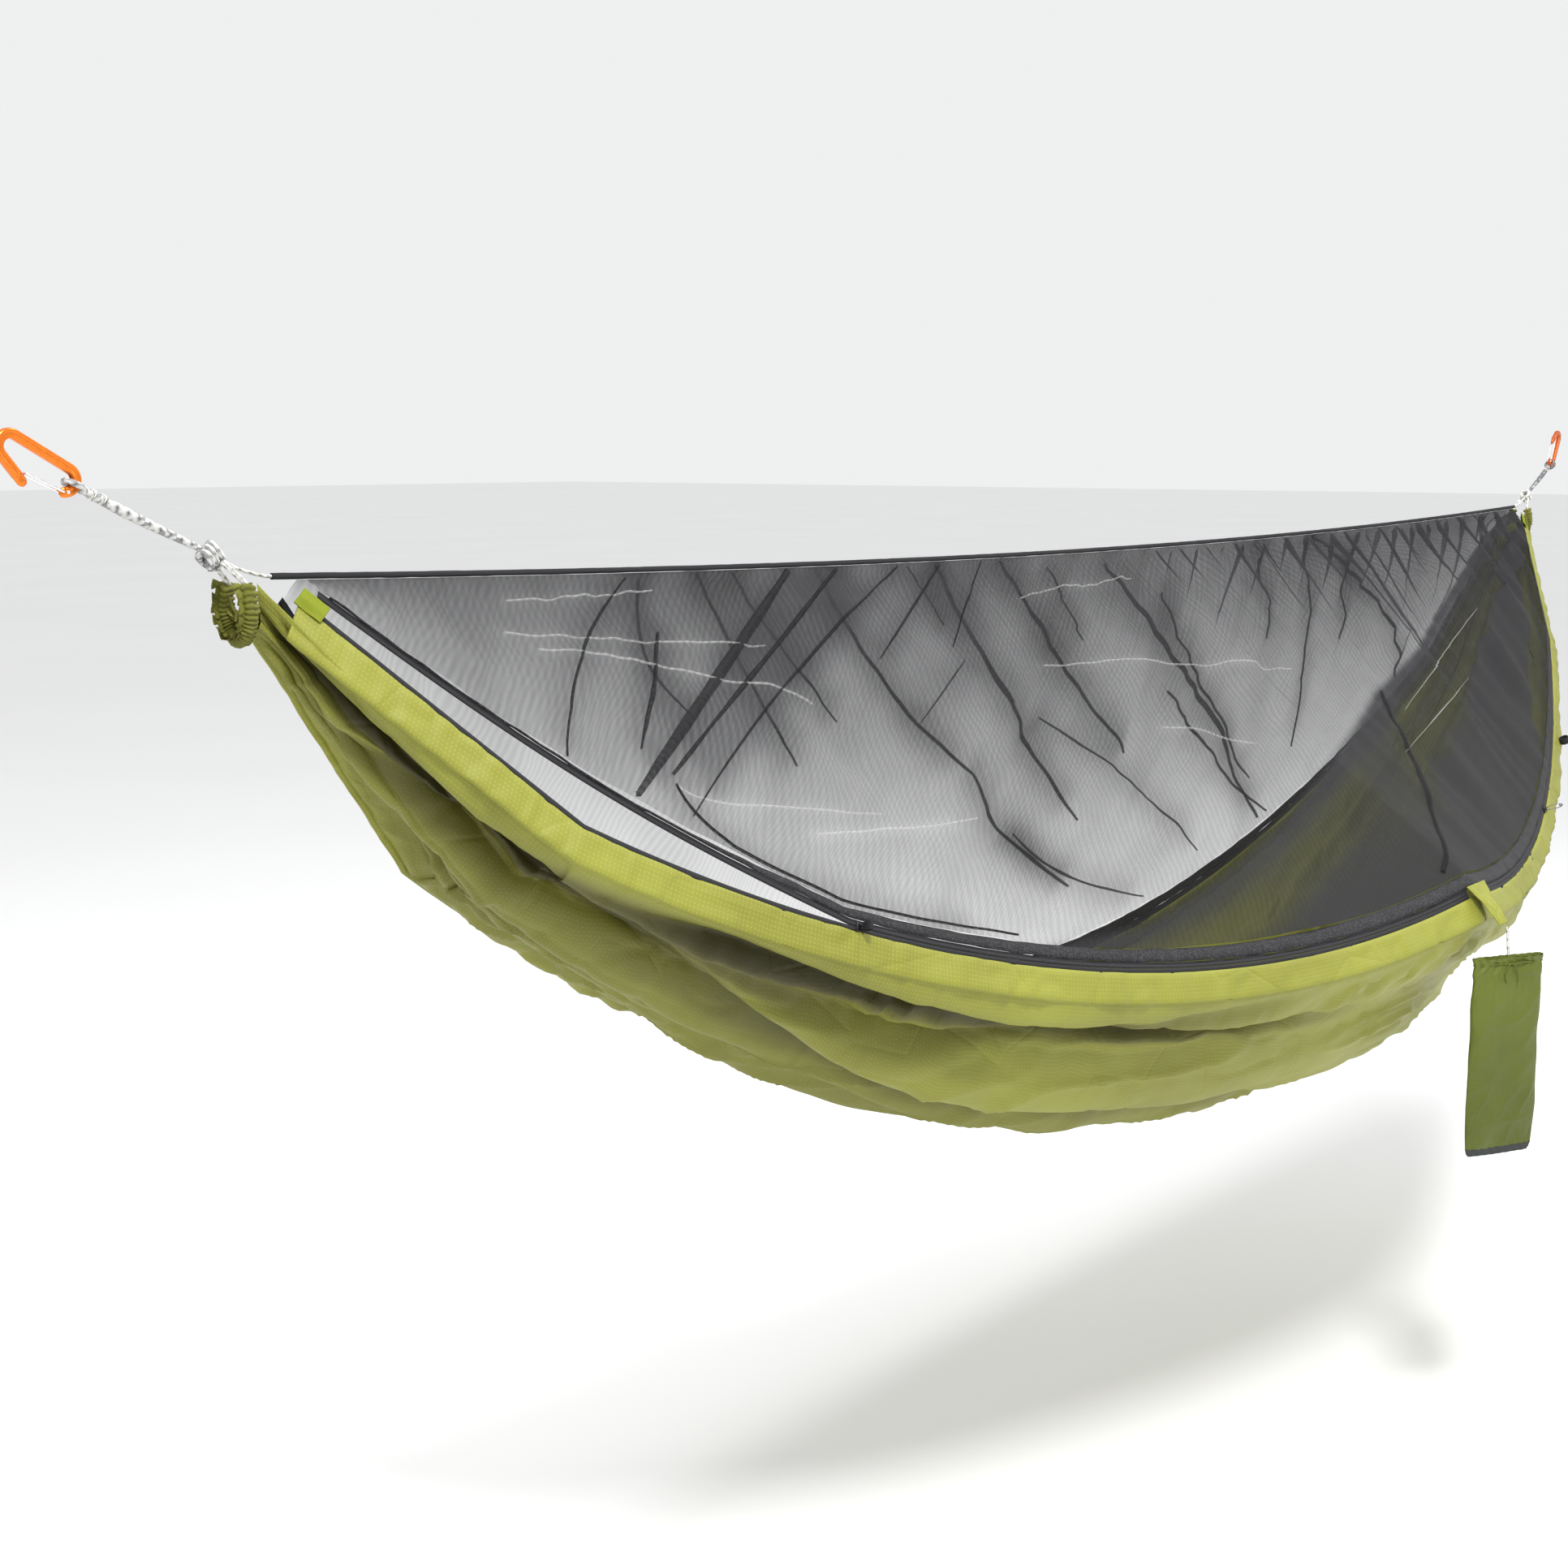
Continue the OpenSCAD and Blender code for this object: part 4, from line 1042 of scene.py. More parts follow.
# ---------------------------------------------------------------- nets
# each net's lower edge, from gather to gather
NEAR_SPAN, FAR_SPAN = (-0.93, 2.96), (-0.93, 1.93)
TOP_DROP = np.array([0, 0, 0.0030])
NEAR_N = unit([0, -0.65, 0.755])
FAR_N = unit([0, 0.97, 0.24])


def net_low(s):
    """The near net's lower edge, s from -1 at the left corner to 3 at the right one."""
    s = np.asarray(s, float)
    left = net_zip(np.minimum(s, 1), np.full(s.shape, -NET_IN), np.zeros(s.shape))
    right = rim("right", np.minimum(2 - s, 1), -NET_IN)
    return np.where((s <= 1)[..., None], left, right)


def far_low(v):
    return rim("far", v, -NET_IN)


def net_grid(low, tt, normal, seed):
    """Points from the lower edge up to the ridge, gathered at the ridge and creased below it."""
    top = ridge(low[:, 0]) - TOP_DROP
    P = low[:, None, :] + (top - low)[:, None, :] * tt[None, :, None]
    high = np.linalg.norm(top - low, axis=-1)[:, None]
    x = low[:, :1] + 0 * tt[None, :]
    up = 1 - tt[None, :]          # 0 at the ridge, 1 at the rim
    drop = up * high
    full = 0.25 + 0.75 * smooth(0.9, 1.9, x)
    gather = np.sin(2 * np.pi * (x / 0.034 + 0.8 * noise2(x / 0.11, up, seed)))
    gather = 0.0055 * gather * np.exp(-drop / 0.09)
    wider = np.sin(2 * np.pi * (x / 0.075 + 0.9 * noise2(x / 0.2, up, seed + 1)))
    gather += 0.0075 * wider * np.exp(-drop / 0.22)
    broad = 0.013 * noise2(x / 0.16 + 0.5 * up, up * 1.6, seed + 2)
    broad = broad + 0.009 * noise2(x / 0.07 + up, up * 3.0, seed + 3)
    packing = 0.0022 * (1 - np.abs(noise2(x / 0.5, drop / 0.05, seed + 4))) ** 6
    hold = np.sin(np.pi * np.clip(up, 0, 1)) ** 0.7
    y = gather * full * smooth(0, 0.012, drop) + (broad * np.minimum(1, high / 0.25) + packing) * hold
    return P + y[..., None] * normal


FOLD_POINTS = 90


def fold(wide, dark, soft, start, end, bow=0.0, pale=False):
    """One folded line of a net from start to end, each (share of the ridge, share of the drop)."""
    return {"from": start, "to": end, "bow": bow, "wide": wide, "dark": dark, "soft": soft, "pale": pale}


def fold_track(line, s_pos, tall):
    """A fold's route, straight or bowed in metres: share of the ridge, metres down, and share of the drop."""
    (xa, ua), (xb, ub) = line["from"], line["to"]
    k = np.linspace(0, 1, FOLD_POINTS)
    x = xa + (xb - xa) * k + 4 * line["bow"] * k * (1 - k)
    down = ua * np.interp(xa, s_pos, tall) * (1 - k) + ub * np.interp(xb, s_pos, tall) * k
    return x, down, np.clip(down / np.interp(x, s_pos, tall), 0.004, 0.985)


def fold_halo(line, x, down, s_pos, fall):
    """The doubled net beside a fold's line, with painted shadow in its soft edge: 1 on it, fading over its
    softness.
    """
    halo = np.zeros(fall.shape)
    for i in range(0, 80, 10):
        ax, ay, bx, by = x[i] * L, down[i], x[i + 9] * L, down[i + 9]
        ex, ey = bx - ax, by - ay
        g = np.clip(((s_pos[:, None] * L - ax) * ex + (fall - ay) * ey) / (ex * ex + ey * ey), 0, 1)
        dist = np.hypot(s_pos[:, None] * L - ax - g * ex, fall - ay - g * ey)
        halo = np.maximum(halo, np.exp(-((dist / line["soft"]) ** 2)))
    return halo


def on_grid(P, f, g):
    """Points of a grid at row f and column g, which needn't be whole numbers."""
    f, g = np.clip(f, 0, P.shape[0] - 1.001), np.clip(g, 0, P.shape[1] - 1.001)
    i, j = f.astype(int), g.astype(int)
    a, b = (f - i)[:, None], (g - j)[:, None]
    return (P[i, j] * (1 - a) * (1 - b) + P[i + 1, j] * a * (1 - b)
            + P[i, j + 1] * (1 - a) * b + P[i + 1, j + 1] * a * b)


def fold_strip(name, line, mid, normal, seed):
    """The folded net itself: a narrow raised strip along the fold's points."""
    beside = unit(np.cross(unit(np.gradient(mid, axis=0)), normal))
    taper = 0.35 + 0.65 * np.sin(np.pi * np.linspace(0.12, 0.95, FOLD_POINTS)) ** 0.6
    uneven = 1 + 0.3 * noise2(np.linspace(0, 9, FOLD_POINTS), np.zeros(FOLD_POINTS), seed)
    wd = line["wide"] * (0.75 if line["pale"] else 1.0) * taper * uneven
    rows = []
    for e, lift in ((-0.5, 0.0006), (-0.18, 0.0028), (0.18, 0.0028), (0.5, 0.0006)):
        rows.append(mid + (e * wd)[:, None] * beside + lift * normal)
    # pale strips carry painted highlight; the others are the darker folded net
    st = sheet_mesh(name, np.stack(rows, 1) + O, [M["net_painted_highlight" if line["pale"] else "fold_net"]])
    add_place(st, np.zeros((FOLD_POINTS, len(rows))), 1.0)
    return st


def net_piece(name, node, low, normal, seed, mat, folds, dense_fn):
    s_pos = low[:, 0] / L
    tt = np.linspace(0.030, 1, 96)
    P = net_grid(low + np.array([0, 0.0005, 0.002]), tt, normal, seed)
    up = 1 - (tt - tt[0]) / (tt[-1] - tt[0])
    dense = dense_fn(s_pos[:, None] + 0 * up[None, :], 0 * s_pos[:, None] + up[None, :], P)
    tall = np.linalg.norm(P[:, -1] - P[:, 0], axis=-1)
    tracks = [fold_track(line, s_pos, tall) for line in folds]
    # the halo darkens the net beside each fold: partly doubled net, partly painted shadow
    for line, (x, down, _) in zip(folds, tracks):
        dense = dense + line["dark"] * fold_halo(line, x, down, s_pos, up[None, :] * tall[:, None])
    ob = mesh(name, (P + O).reshape(-1, 3), grid_faces(*P.shape[:2]), pair(lengths(P, 0), lengths(P, 1)),
              [mat, M["fold_net"]])
    add_place(ob, dense, up[None, :])
    parts = [ob]
    for i, (line, (x, _, share)) in enumerate(zip(folds, tracks)):
        row = np.interp(x, s_pos, np.arange(P.shape[0]))
        column = np.interp(1 - share, 1 - up, np.arange(P.shape[1]))
        parts.append(fold_strip(f"{name}_fold_{i}", line, on_grid(P, row, column), normal, 50 + i + seed))
    ob = join(name, *parts)
    settle(ob, "hammock", node)


near_folds = [
    fold(0.0100, 0.20, 0.020, (0.24, 0.01), (0.10, 1.0)),
    fold(0.0050, 0.28, 0.030, (0.27, 0.01), (0.12, 0.79)),
    fold(0.0030, 0.22, 0.020, (0.31, 0.01), (0.12, 0.94), -0.01),
    fold(0.0026, 0.18, 0.020, (0.34, 0.01), (0.26, 0.26)),
    fold(0.0030, 0.18, 0.020, (0.15, 0.02), (0.08, 1.0), -0.01),
    fold(0.0042, 0.25, 0.022, (0.15, 0.21), (0.11, 0.76)),
    fold(0.0020, 0.18, 0.025, (0.37, 0.01), (0.31, 0.23)),
    fold(0.0018, 0.14, 0.020, (0.31, 0.27), (0.26, 0.43)),
    fold(0.0030, 0.22, 0.025, (0.12, 0.82), (0.24, 0.99), -0.03),
    fold(0.0110, 0.05, 0.020, (0.63, 0.51), (0.49, 0.98), 0.02),
    # the pale ones: painted highlight along folds of the black net, with the net thinned round them
    fold(0.0016, -0.08, 0.008, (0.08, 0.33), (0.20, 0.23), -0.01, True),
    fold(0.0018, -0.08, 0.008, (0.09, 0.39), (0.21, 0.38), -0.00, True),
    fold(0.0016, -0.08, 0.008, (0.09, 0.12), (0.16, 0.06), -0.00, True),
    fold(0.0014, -0.06, 0.008, (0.12, 0.82), (0.21, 0.69), -0.02, True),
    fold(0.0016, -0.08, 0.008, (0.38, 0.11), (0.48, 0.08), -0.00, True),
    fold(0.0018, -0.08, 0.008, (0.36, 0.29), (0.55, 0.39), -0.00, True),
    fold(0.0020, -0.10, 0.010, (0.17, 0.80), (0.26, 0.67), -0.01, True),
    fold(0.0016, -0.08, 0.008, (0.40, 0.49), (0.46, 0.56), -0.00, True),
    fold(0.0022, -0.12, 0.010, (0.64, 0.58), (0.83, 0.47), 0.00, True),
    fold(0.0020, -0.12, 0.010, (0.59, 0.68), (0.76, 0.62), 0.00, True),
]
far_folds = [
    fold(0.0062, 0.25, 0.024, (0.26, 0.01), (0.40, 0.49), -0.01),
    fold(0.0058, 0.25, 0.028, (0.40, 0.49), (0.52, 0.84), -0.01),
    fold(0.0042, 0.22, 0.030, (0.46, 0.67), (0.61, 0.98), -0.02),
    fold(0.0074, 0.28, 0.030, (0.34, 0.01), (0.51, 0.66)),
    fold(0.0062, 0.28, 0.030, (0.39, 0.01), (0.54, 0.51)),
    fold(0.0034, 0.18, 0.024, (0.46, 0.39), (0.66, 0.93), 0.01),
    fold(0.0080, 0.16, 0.030, (0.48, 0.03), (0.73, 0.98), 0.01),
    fold(0.0050, 0.14, 0.026, (0.57, 0.37), (0.74, 0.98), -0.01),
    fold(0.0050, 0.16, 0.028, (0.54, 0.11), (0.71, 0.80), -0.01),
    fold(0.0026, 0.20, 0.020, (0.63, 0.01), (0.68, 0.31)),
    fold(0.0032, 0.20, 0.022, (0.69, 0.01), (0.75, 0.77), 0.01),
    fold(0.0070, 0.22, 0.025, (0.70, 0.01), (0.88, 0.93), 0.03),
    fold(0.0026, 0.20, 0.022, (0.75, 0.10), (0.78, 0.43)),
    fold(0.0040, 0.24, 0.024, (0.16, 0.02), (0.20, 0.37), -0.01),
    fold(0.0044, 0.26, 0.030, (0.19, 0.01), (0.27, 0.47)),
    fold(0.0034, 0.22, 0.022, (0.21, 0.01), (0.29, 0.36)),
    fold(0.0022, 0.16, 0.018, (0.32, 0.01), (0.36, 0.15)),
    fold(0.0022, 0.16, 0.018, (0.43, 0.03), (0.48, 0.21)),
]


def near_dense(s, up, P):
    """Extra fullness: at the right end folded net together with painted shade for the shadowed inside behind
    it, lighter streaks fanning out of it, and gathers on the ridge.
    """
    x, z = P[..., 0], P[..., 2]
    ang = np.arctan2(-(z + 0.01), L - x + 1e-6)
    rad = np.hypot(z, L - x)
    streak = noise2(ang * 14, rad * 0.7, 61)
    starts = np.interp(s, [0.25, 0.31, 0.39, 0.5, 0.62, 0.73, 0.86, 0.92],
                       [1.0, 0.93, 0.81, 0.64, 0.50, 0.43, 0.28, 0.18])
    # painted shade: near the right end the net is made almost black where the inside behind it lies in
    # shadow, partly also folded net; the streaks leave it thinner
    thin = 0.70 - 0.44 * smooth(0.16, 0.46, streak) * smooth(0.0, 0.10, up - starts)
    right = smooth(-0.01, 0.03, up - starts) * smooth(0.23, 0.27, s) * thin
    # painted shade: the net a little darker all the way towards the right
    right = np.maximum(right, 0.16 * smooth(0.45, 0.9, s))
    gath = np.maximum(0, noise2(x / 0.020 + 2 * up, up * 3, 63)) * np.exp(-up / 0.16)
    return right + 0.16 * gath * smooth(1.1, 1.7, x)


def far_dense(s, up, P):
    x = P[..., 0]
    gath = np.maximum(0, noise2(x / 0.026 + 2 * up, up * 3, 65)) * np.exp(-up / 0.2)
    gath = 0.18 * gath * smooth(0.9, 1.6, x)
    soft = 0.10 * np.maximum(0, noise2(x / 0.09 - 1.2 * up, up * 2, 66))
    return gath + soft


ns = 620
net_piece("net_near_side", "net_near", net_low(np.linspace(*NEAR_SPAN, ns)), NEAR_N, 71, M["near_net"],
          near_folds, near_dense)
net_piece("net_far_side", "net_far", far_low(np.linspace(*FAR_SPAN, ns)), FAR_N, 81, M["far_net"],
          far_folds, far_dense)


def edge_strip(name, node, low, normal, seed):
    """The binding sewn along the net's lower edge."""
    top = ridge(low[:, 0]) - TOP_DROP
    rows = []
    s = lengths(low[:, None, :], 0)[:, 0]
    for k, lift in ((0, 0.0), (0.25, 0.0012), (0.5, 0.0016), (0.75, 0.0012), (1.0, 0.0)):
        slim = (0.16 + 0.84 * smooth(0.32, 0.48, s) * (0.4 + 0.6 * smooth(0, 0.30, s[-1] - s)))[:, None]
        p = low + (top - low) * (0.030 * k) * slim
        p = p + normal * (lift + 0.0010 * noise2(s / 0.020, k + 0 * s, seed) + 0.0006)[:, None]
        rows.append(p)
    P = np.stack(rows, 1) + O
    settle(sheet_mesh(name, P, [M["strip"]], thick=0.0009), "hammock", node)


edge_strip("net_binding_near", "net_edge_strip_near", net_low(np.linspace(*NEAR_SPAN, 700)), NEAR_N, 91)
edge_strip("net_binding_far", "net_edge_strip_far", far_low(np.linspace(*FAR_SPAN, 600)), FAR_N, 93)


def ridge_binding():
    """The dark hem round the ridge cord, a little deeper below it than above."""
    s = np.linspace(0.006, L - 0.006, 900)[:, None]
    ang = np.linspace(0, 2 * np.pi, 12, endpoint=False)[None, :]
    r = 0.0024 * (1 + 0.06 * noise2(s / 0.012, ang, 95)) * np.where(np.sin(ang) < 0, 1.35, 0.85)
    R = ridge(s[:, 0])[:, None, :] + np.stack([0 * r, r * 0.8 * np.cos(ang), r * np.sin(ang)], -1)
    R[..., 2] += 0.0006
    ob = bar_mesh("ridge_binding", R + O, pair(s, ang * 0.0035), [M["ridge"]])
    settle(ob, "hammock", "ridge_channel")


ridge_binding()

# ---------------------------------------------------------------- sliders, pulls, tabs
def rim_frame(side, v):
    """Axes and origin at a place on a rim: x outwards, y along, z up off the zip."""
    src = "left" if side == "right" else side
    v = np.array(v, float)
    p = rim(src, v)
    x = rim(src, v, 1.0) - p
    z = rim(src, v, 0.0, 1.0) - p
    y = np.cross(z, x)
    return p, x, y, z, side == "right"


def to_rim(P, fr):
    p, x, y, z, flip = fr
    Q = p + P[..., :1] * x + P[..., 1:2] * y + P[..., 2:3] * z
    return (mir(Q) if flip else Q) + O


def ribbon(name, path, half, thick, fr, mat):
    """Webbing bent along a path in its frame's y-z plane, its width along x."""
    path = np.asarray(path, float)
    t = unit(np.gradient(path, axis=0))
    nrm = np.stack([0 * t[:, 0], -t[:, 2], t[:, 1]], -1)
    e = thick / 2
    right_side = [(half * 0.86, e), (half, e * 0.5), (half, -e * 0.5), (half * 0.86, -e)]
    left_side = [(-half * 0.86, -e), (-half, -e * 0.5), (-half, e * 0.5), (-half * 0.86, e)]
    sec = left_side[1:] + [(0, e * 1.05)] + right_side + [(0, -e * 1.05)] + left_side[:1]
    P = np.stack([path + np.array([x_, 0, 0]) + u_ * nrm for x_, u_ in sec], 1)
    s = lengths(path[:, None, :], 0)
    uv = pair(s, np.array([x_ for x_, _ in sec])[None, :])
    return bar_mesh(name, to_rim(P, fr), uv, [mat])


def loop_path(base, tall, bulge, n=60):
    """Up one side, over the top and down the other, from a pin at base."""
    a = np.linspace(0, 2 * np.pi, n)
    z = base + tall * (0.5 - 0.5 * np.cos(a)) ** 0.8
    y = bulge * np.sin(a) * (0.35 + 0.65 * (0.5 - 0.5 * np.cos(a)))
    return np.stack([0 * a, y, z], -1)


PIN = 0.0042


def pull_pin(name, fr):
    """The bar through a slider's eye that a pull hangs on."""
    line = np.stack([np.linspace(-0.0048, 0.0048, 12), np.zeros(12), np.full(12, PIN)], -1)
    return tube(name, to_rim(line, fr), 0.0006, [M["slider"]], 10, fr[3])


def webbing_pull(name, node, body_, side, v, tall):
    """A short loop of webbing with two rows of stitches."""
    fr = rim_frame(side, v)
    parts = [ribbon(name + "_loop", loop_path(PIN - 0.0004, tall, 0.0030), 0.0044, 0.0011, fr, M["webbing"])]
    parts.append(pull_pin(name + "_pin", fr))
    for z in (0.0040, 0.0046):
        zigzag = 0.0012 + 0.00025 * np.sin(np.linspace(0, 44, 24))
        row = np.stack([np.linspace(-0.0036, 0.0036, 24), zigzag, np.full(24, PIN + z)], -1)
        parts.append(tube(f"{name}_stitch_{z}", to_rim(row, fr), 0.00022, [M["strip"]], 6, fr[3]))
    settle(join(name, *parts), body_, node)


webbing_pull("pull_webbing_left", "pull_loop_left", "pull_left", "left", LEFT_AT, 0.0142)
webbing_pull("pull_webbing_far", "pull_loop_far", "pull_far", "far", FAR_AT, 0.0172)


def cord_pull():
    """A thin cord loop with a small knot at its end."""
    fr = rim_frame("right", RIGHT_AT)
    a = np.linspace(0, 2 * np.pi, 70, endpoint=False)
    rise = 0.5 - 0.5 * np.cos(a)
    line = np.stack([0.0038 * np.sin(a) * (0.6 + 0.4 * rise), 0.0006 * np.sin(2 * a), PIN + 0.023 * rise], -1)
    loop = tube("pull_cord_loop", to_rim(line, fr), 0.00062, [M["rope_r"]], 10, fr[2], closed=True)
    a = np.linspace(0, np.pi, 12)
    line = np.stack([np.zeros(12), np.zeros(12), PIN + 0.0205 - 0.0022 * np.cos(a)], -1)
    bead = tube("pull_cord_knot", to_rim(line, fr), 0.0004 + 0.0016 * np.sin(a), [M["rope_r"]], 12, fr[2])
    ob = join("pull_cord_right_piece", loop, pull_pin("pull_cord_pin", fr), bead)
    settle(ob, "pull_right", "pull_cord_right")


cord_pull()


def slider(name, node, body_, side, v):
    """A coil slider: crowned plate with a waist, two guide flanges and an arched eye."""
    fr = rim_frame(side, v)
    ys = np.linspace(-0.0058, 0.0058, 26)
    half = 0.0049 - 0.0011 * np.exp(-((ys + 0.0005) / 0.0022) ** 2) - 0.0006 * smooth(0.0035, 0.0058, ys)
    rows = []
    k = 18
    for y, hw in zip(ys, half):
        end = 1 - 0.35 * smooth(0.0048, 0.0058, abs(y))
        turn = np.linspace(np.pi, 0, k)
        top = [(hw * math.cos(a), y, 0.0017 + 0.0013 * end * abs(math.sin(a)) ** 0.7) for a in turn]
        flanges = np.linspace(0.99, -0.99, k)
        low = [(hw * c, y, 0.0017 - (0.0005 if abs(c) > 0.78 else 0.0)) for c in flanges]
        rows.append(top + low)
    P = np.array(rows)
    parts = [bar_mesh(name + "_plate", to_rim(P, fr), P.reshape(-1, 3)[:, :2], [M["slider"]])]
    a = np.linspace(0, np.pi, 22)
    for x in (-0.0013, 0.0013):
        path = np.stack([np.full(22, x), 0.0024 * np.cos(a), 0.0027 + 0.0027 * np.sin(a) ** 0.8], -1)
        parts.append(tube(f"{name}_arch_{x > 0}", to_rim(path, fr), 0.00055, [M["slider"]], 10, fr[1]))
    settle(join(name, *parts), body_, node)


slider("slider_left_piece", "zip_slider_left", "slider_left", "left", LEFT_AT)
slider("slider_right_piece", "zip_slider_right", "slider_right", "right", RIGHT_AT)
slider("slider_far_piece", "zip_slider_far", "slider_far", "far", FAR_AT)


def gear_loop():
    """A round loop of webbing that stands on the near rim's right half."""
    a = np.linspace(-0.5 * np.pi, 1.5 * np.pi, 70)
    pinched = 1 - 0.25 * (np.sin(a) < 0) * np.abs(np.sin(a))
    line = np.stack([np.full(70, 0.026), 0.0066 * np.cos(a) * pinched, 0.0104 + 0.0069 * np.sin(a)], -1)
    ob = ribbon("gear_loop_webbing", line, 0.0049, 0.0015, rim_frame("right", 0.24), M["webbing"])
    settle(ob, "hammock", "gear_loop")


gear_loop()


def zip_tab(side, right):
    """The bright tab folded over a near zip's end."""
    p0 = RIM_START + 0.02 * (NEAR_END - RIM_START)
    x = unit(NEAR_END - RIM_START)
    z = rim("left", np.array(0.0), 0.0, 1.0) - rim("left", np.array(0.0))
    y = np.cross(z, x)
    a, b = np.meshgrid(np.linspace(0, 0.026, 30), np.linspace(-0.008, 0.008, 26), indexing="ij")
    lift = 0.0026 + 0.0009 * noise2(a / 0.011, b / 0.009, 97)
    lift = lift + 0.0014 * np.exp(-((b / 0.0045) ** 2)) - 0.0005 * np.cos(b / 0.012 * np.pi)
    P = p0 + a[..., None] * x + b[..., None] * y + lift[..., None] * z
    ob = sheet_mesh("zip_tab_" + side, fixed(P, right), [M["lime"]], thick=0.0014)
    settle(ob, "hammock", "zip_garage_" + side)


for side, right in BOTH:
    zip_tab(side, right)


def corner_dart():
    """The dart at the corner, sewn flat and pulled into a point by the sack's tether."""
    top, tip, slope = 0.006, -0.050, math.radians(50)
    y, k = np.meshgrid(np.linspace(top, tip, 60), np.linspace(-1, 1, 60), indexing="ij")
    low = (top - y) / (top - tip)
    x = k * (0.009 + 0.017 * (1 - low)) * (1 - 0.12 * np.sin(np.pi * low))
    z = 0.0012 * np.cos(k * 3 * np.pi) * (0.4 + 0.6 * low) + 0.0012 * noise2(k * 2.4, y / 0.010, 101)
    z = z - 0.0012 * np.exp(-((k / 0.16) ** 2)) + 0.001 * np.abs(noise2(k * 5, y / 0.02, 103))
    c, s = math.cos(slope), math.sin(slope)
    P = np.stack([x, y * c - z * s, y * s + z * c], -1) + CORNER + np.array([0, -0.0034, 0.004]) + O
    ob = sheet_mesh("corner_dart_cloth", P, [M["hem"]], thick=0.0016)
    settle(ob, "hammock", "corner_dart")


corner_dart()

# ---------------------------------------------------------------- stuff sack
SACK_H, COLLAR, PANEL, TURN = 0.240, 0.028, 0.009, math.radians(-30)


def sack_place(P):
    c, s_ = math.cos(TURN), math.sin(TURN)
    Q = np.stack([P[..., 0] * c - P[..., 1] * s_, P[..., 0] * s_ + P[..., 1] * c, P[..., 2]], -1)
    return Q + SACK_TOP + O


def sack_ring(z, wide, thick, n=160):
    """One flat oval of the bag, in its own plane."""
    a = np.linspace(0, 2 * np.pi, n, endpoint=False)
    x = wide / 2 * np.sign(np.cos(a)) * np.abs(np.cos(a)) ** 0.85
    y = thick / 2 * np.sign(np.sin(a)) * np.abs(np.sin(a)) ** 0.75
    return np.stack([x, y, np.full(n, z)], -1)


def sack_shell(name, zs, wide, thick, mat, gather, bottom=False):
    """A stretch of the bag's wall, from rings at the heights zs; gather is how far its pleats stand out."""
    rows = np.array([sack_ring(z, wd, th) for z, wd, th in zip(zs, wide, thick)])
    m, n = rows.shape[:2]
    a = np.linspace(0, 2 * np.pi, n, endpoint=False)[None, :]
    arc, z = lengths(rows, 1), zs[:, None]
    nx, ny = np.cos(a), np.sin(a)
    plait = np.abs(np.sin(np.pi * (arc / 0.0105 + 0.35 * noise2(arc / 0.03, z / 0.03, 111)))) - 0.6
    plait = gather[:, None] * plait
    sharp = (1 - np.abs(noise2(arc / 0.020 - z / 0.03, z / 0.040, 115))) ** 3 - 0.4
    crumple = 0.0030 * noise2(arc / 0.030 + z / 0.06, z / 0.055, 113) + 0.0020 * sharp
    side = 0.0012 * noise2(z / 0.03 + 0 * a, 0 * z + np.sign(nx), 117)
    inner = smooth(0, 0.02, SACK_H + z) * 0.75 + 0.25
    face = np.where(np.abs(ny) > 0.05, np.sign(ny), 0) * np.minimum(1, np.abs(ny) * 2.2)
    rows[..., 1] += face * (plait * 0.6 + crumple * inner)
    rows[..., 0] += nx * (plait * 0.5) + side * np.abs(nx) ** 4
    F = grid_faces(m, n, wrap=True)
    if bottom:
        F.append(tuple((m - 1) * n + j for j in range(n)))
    return mesh(name, sack_place(rows).reshape(-1, 3), F, pair(-z, arc), [mat])


z_body = np.linspace(-COLLAR + 0.001, -SACK_H + PANEL, 90)
w_body = np.interp(z_body, [-0.231, -0.18, -0.10, -0.05, -0.027], [0.094, 0.098, 0.095, 0.0965, 0.094])
t_body = np.interp(z_body, [-0.231, -0.20, -0.10, -0.05, -0.027], [0.010, 0.015, 0.0165, 0.014, 0.011])
g_body = 0.0016 * np.exp(-(((z_body + 0.028) / 0.030) ** 2))
g_body = g_body + 0.0012 * np.exp(-(((z_body + 0.231) / 0.020) ** 2))
sack = sack_shell("sack_bag", z_body, w_body, t_body, M["olive"], g_body)
settle(sack, "sack", "stuff_sack")

z_c = np.linspace(-0.0005, -COLLAR - 0.0005, 44)
w_c = np.interp(z_c, [-0.028, -0.020, -0.0085, -0.004, 0], [0.094, 0.097, 0.094, 0.0965, 0.0985])
t_c = np.interp(z_c, [-0.028, -0.020, -0.0085, -0.004, 0], [0.011, 0.0115, 0.0085, 0.0105, 0.0125])
g_c = 0.0010 + 0.0020 * np.exp(-(((z_c + 0.008) / 0.012) ** 2)) + 0.0012 * smooth(-0.006, 0, z_c)
collar = sack_shell("sack_mouth", z_c, w_c, t_c, M["olive"], g_c)
z_l = np.linspace(-0.0005, -0.020, 24)
w_l = np.interp(z_l, [-0.02, 0], [0.088, 0.0965])
t_l = np.interp(z_l, [-0.02, -0.0085, 0], [0.004, 0.0055, 0.011])
lining = sack_shell("sack_mouth_lining", z_l, w_l, t_l, M["olive"], 0.0010 + 0 * z_l)
settle(join("sack_mouth", collar, lining), "sack", "sack_collar")

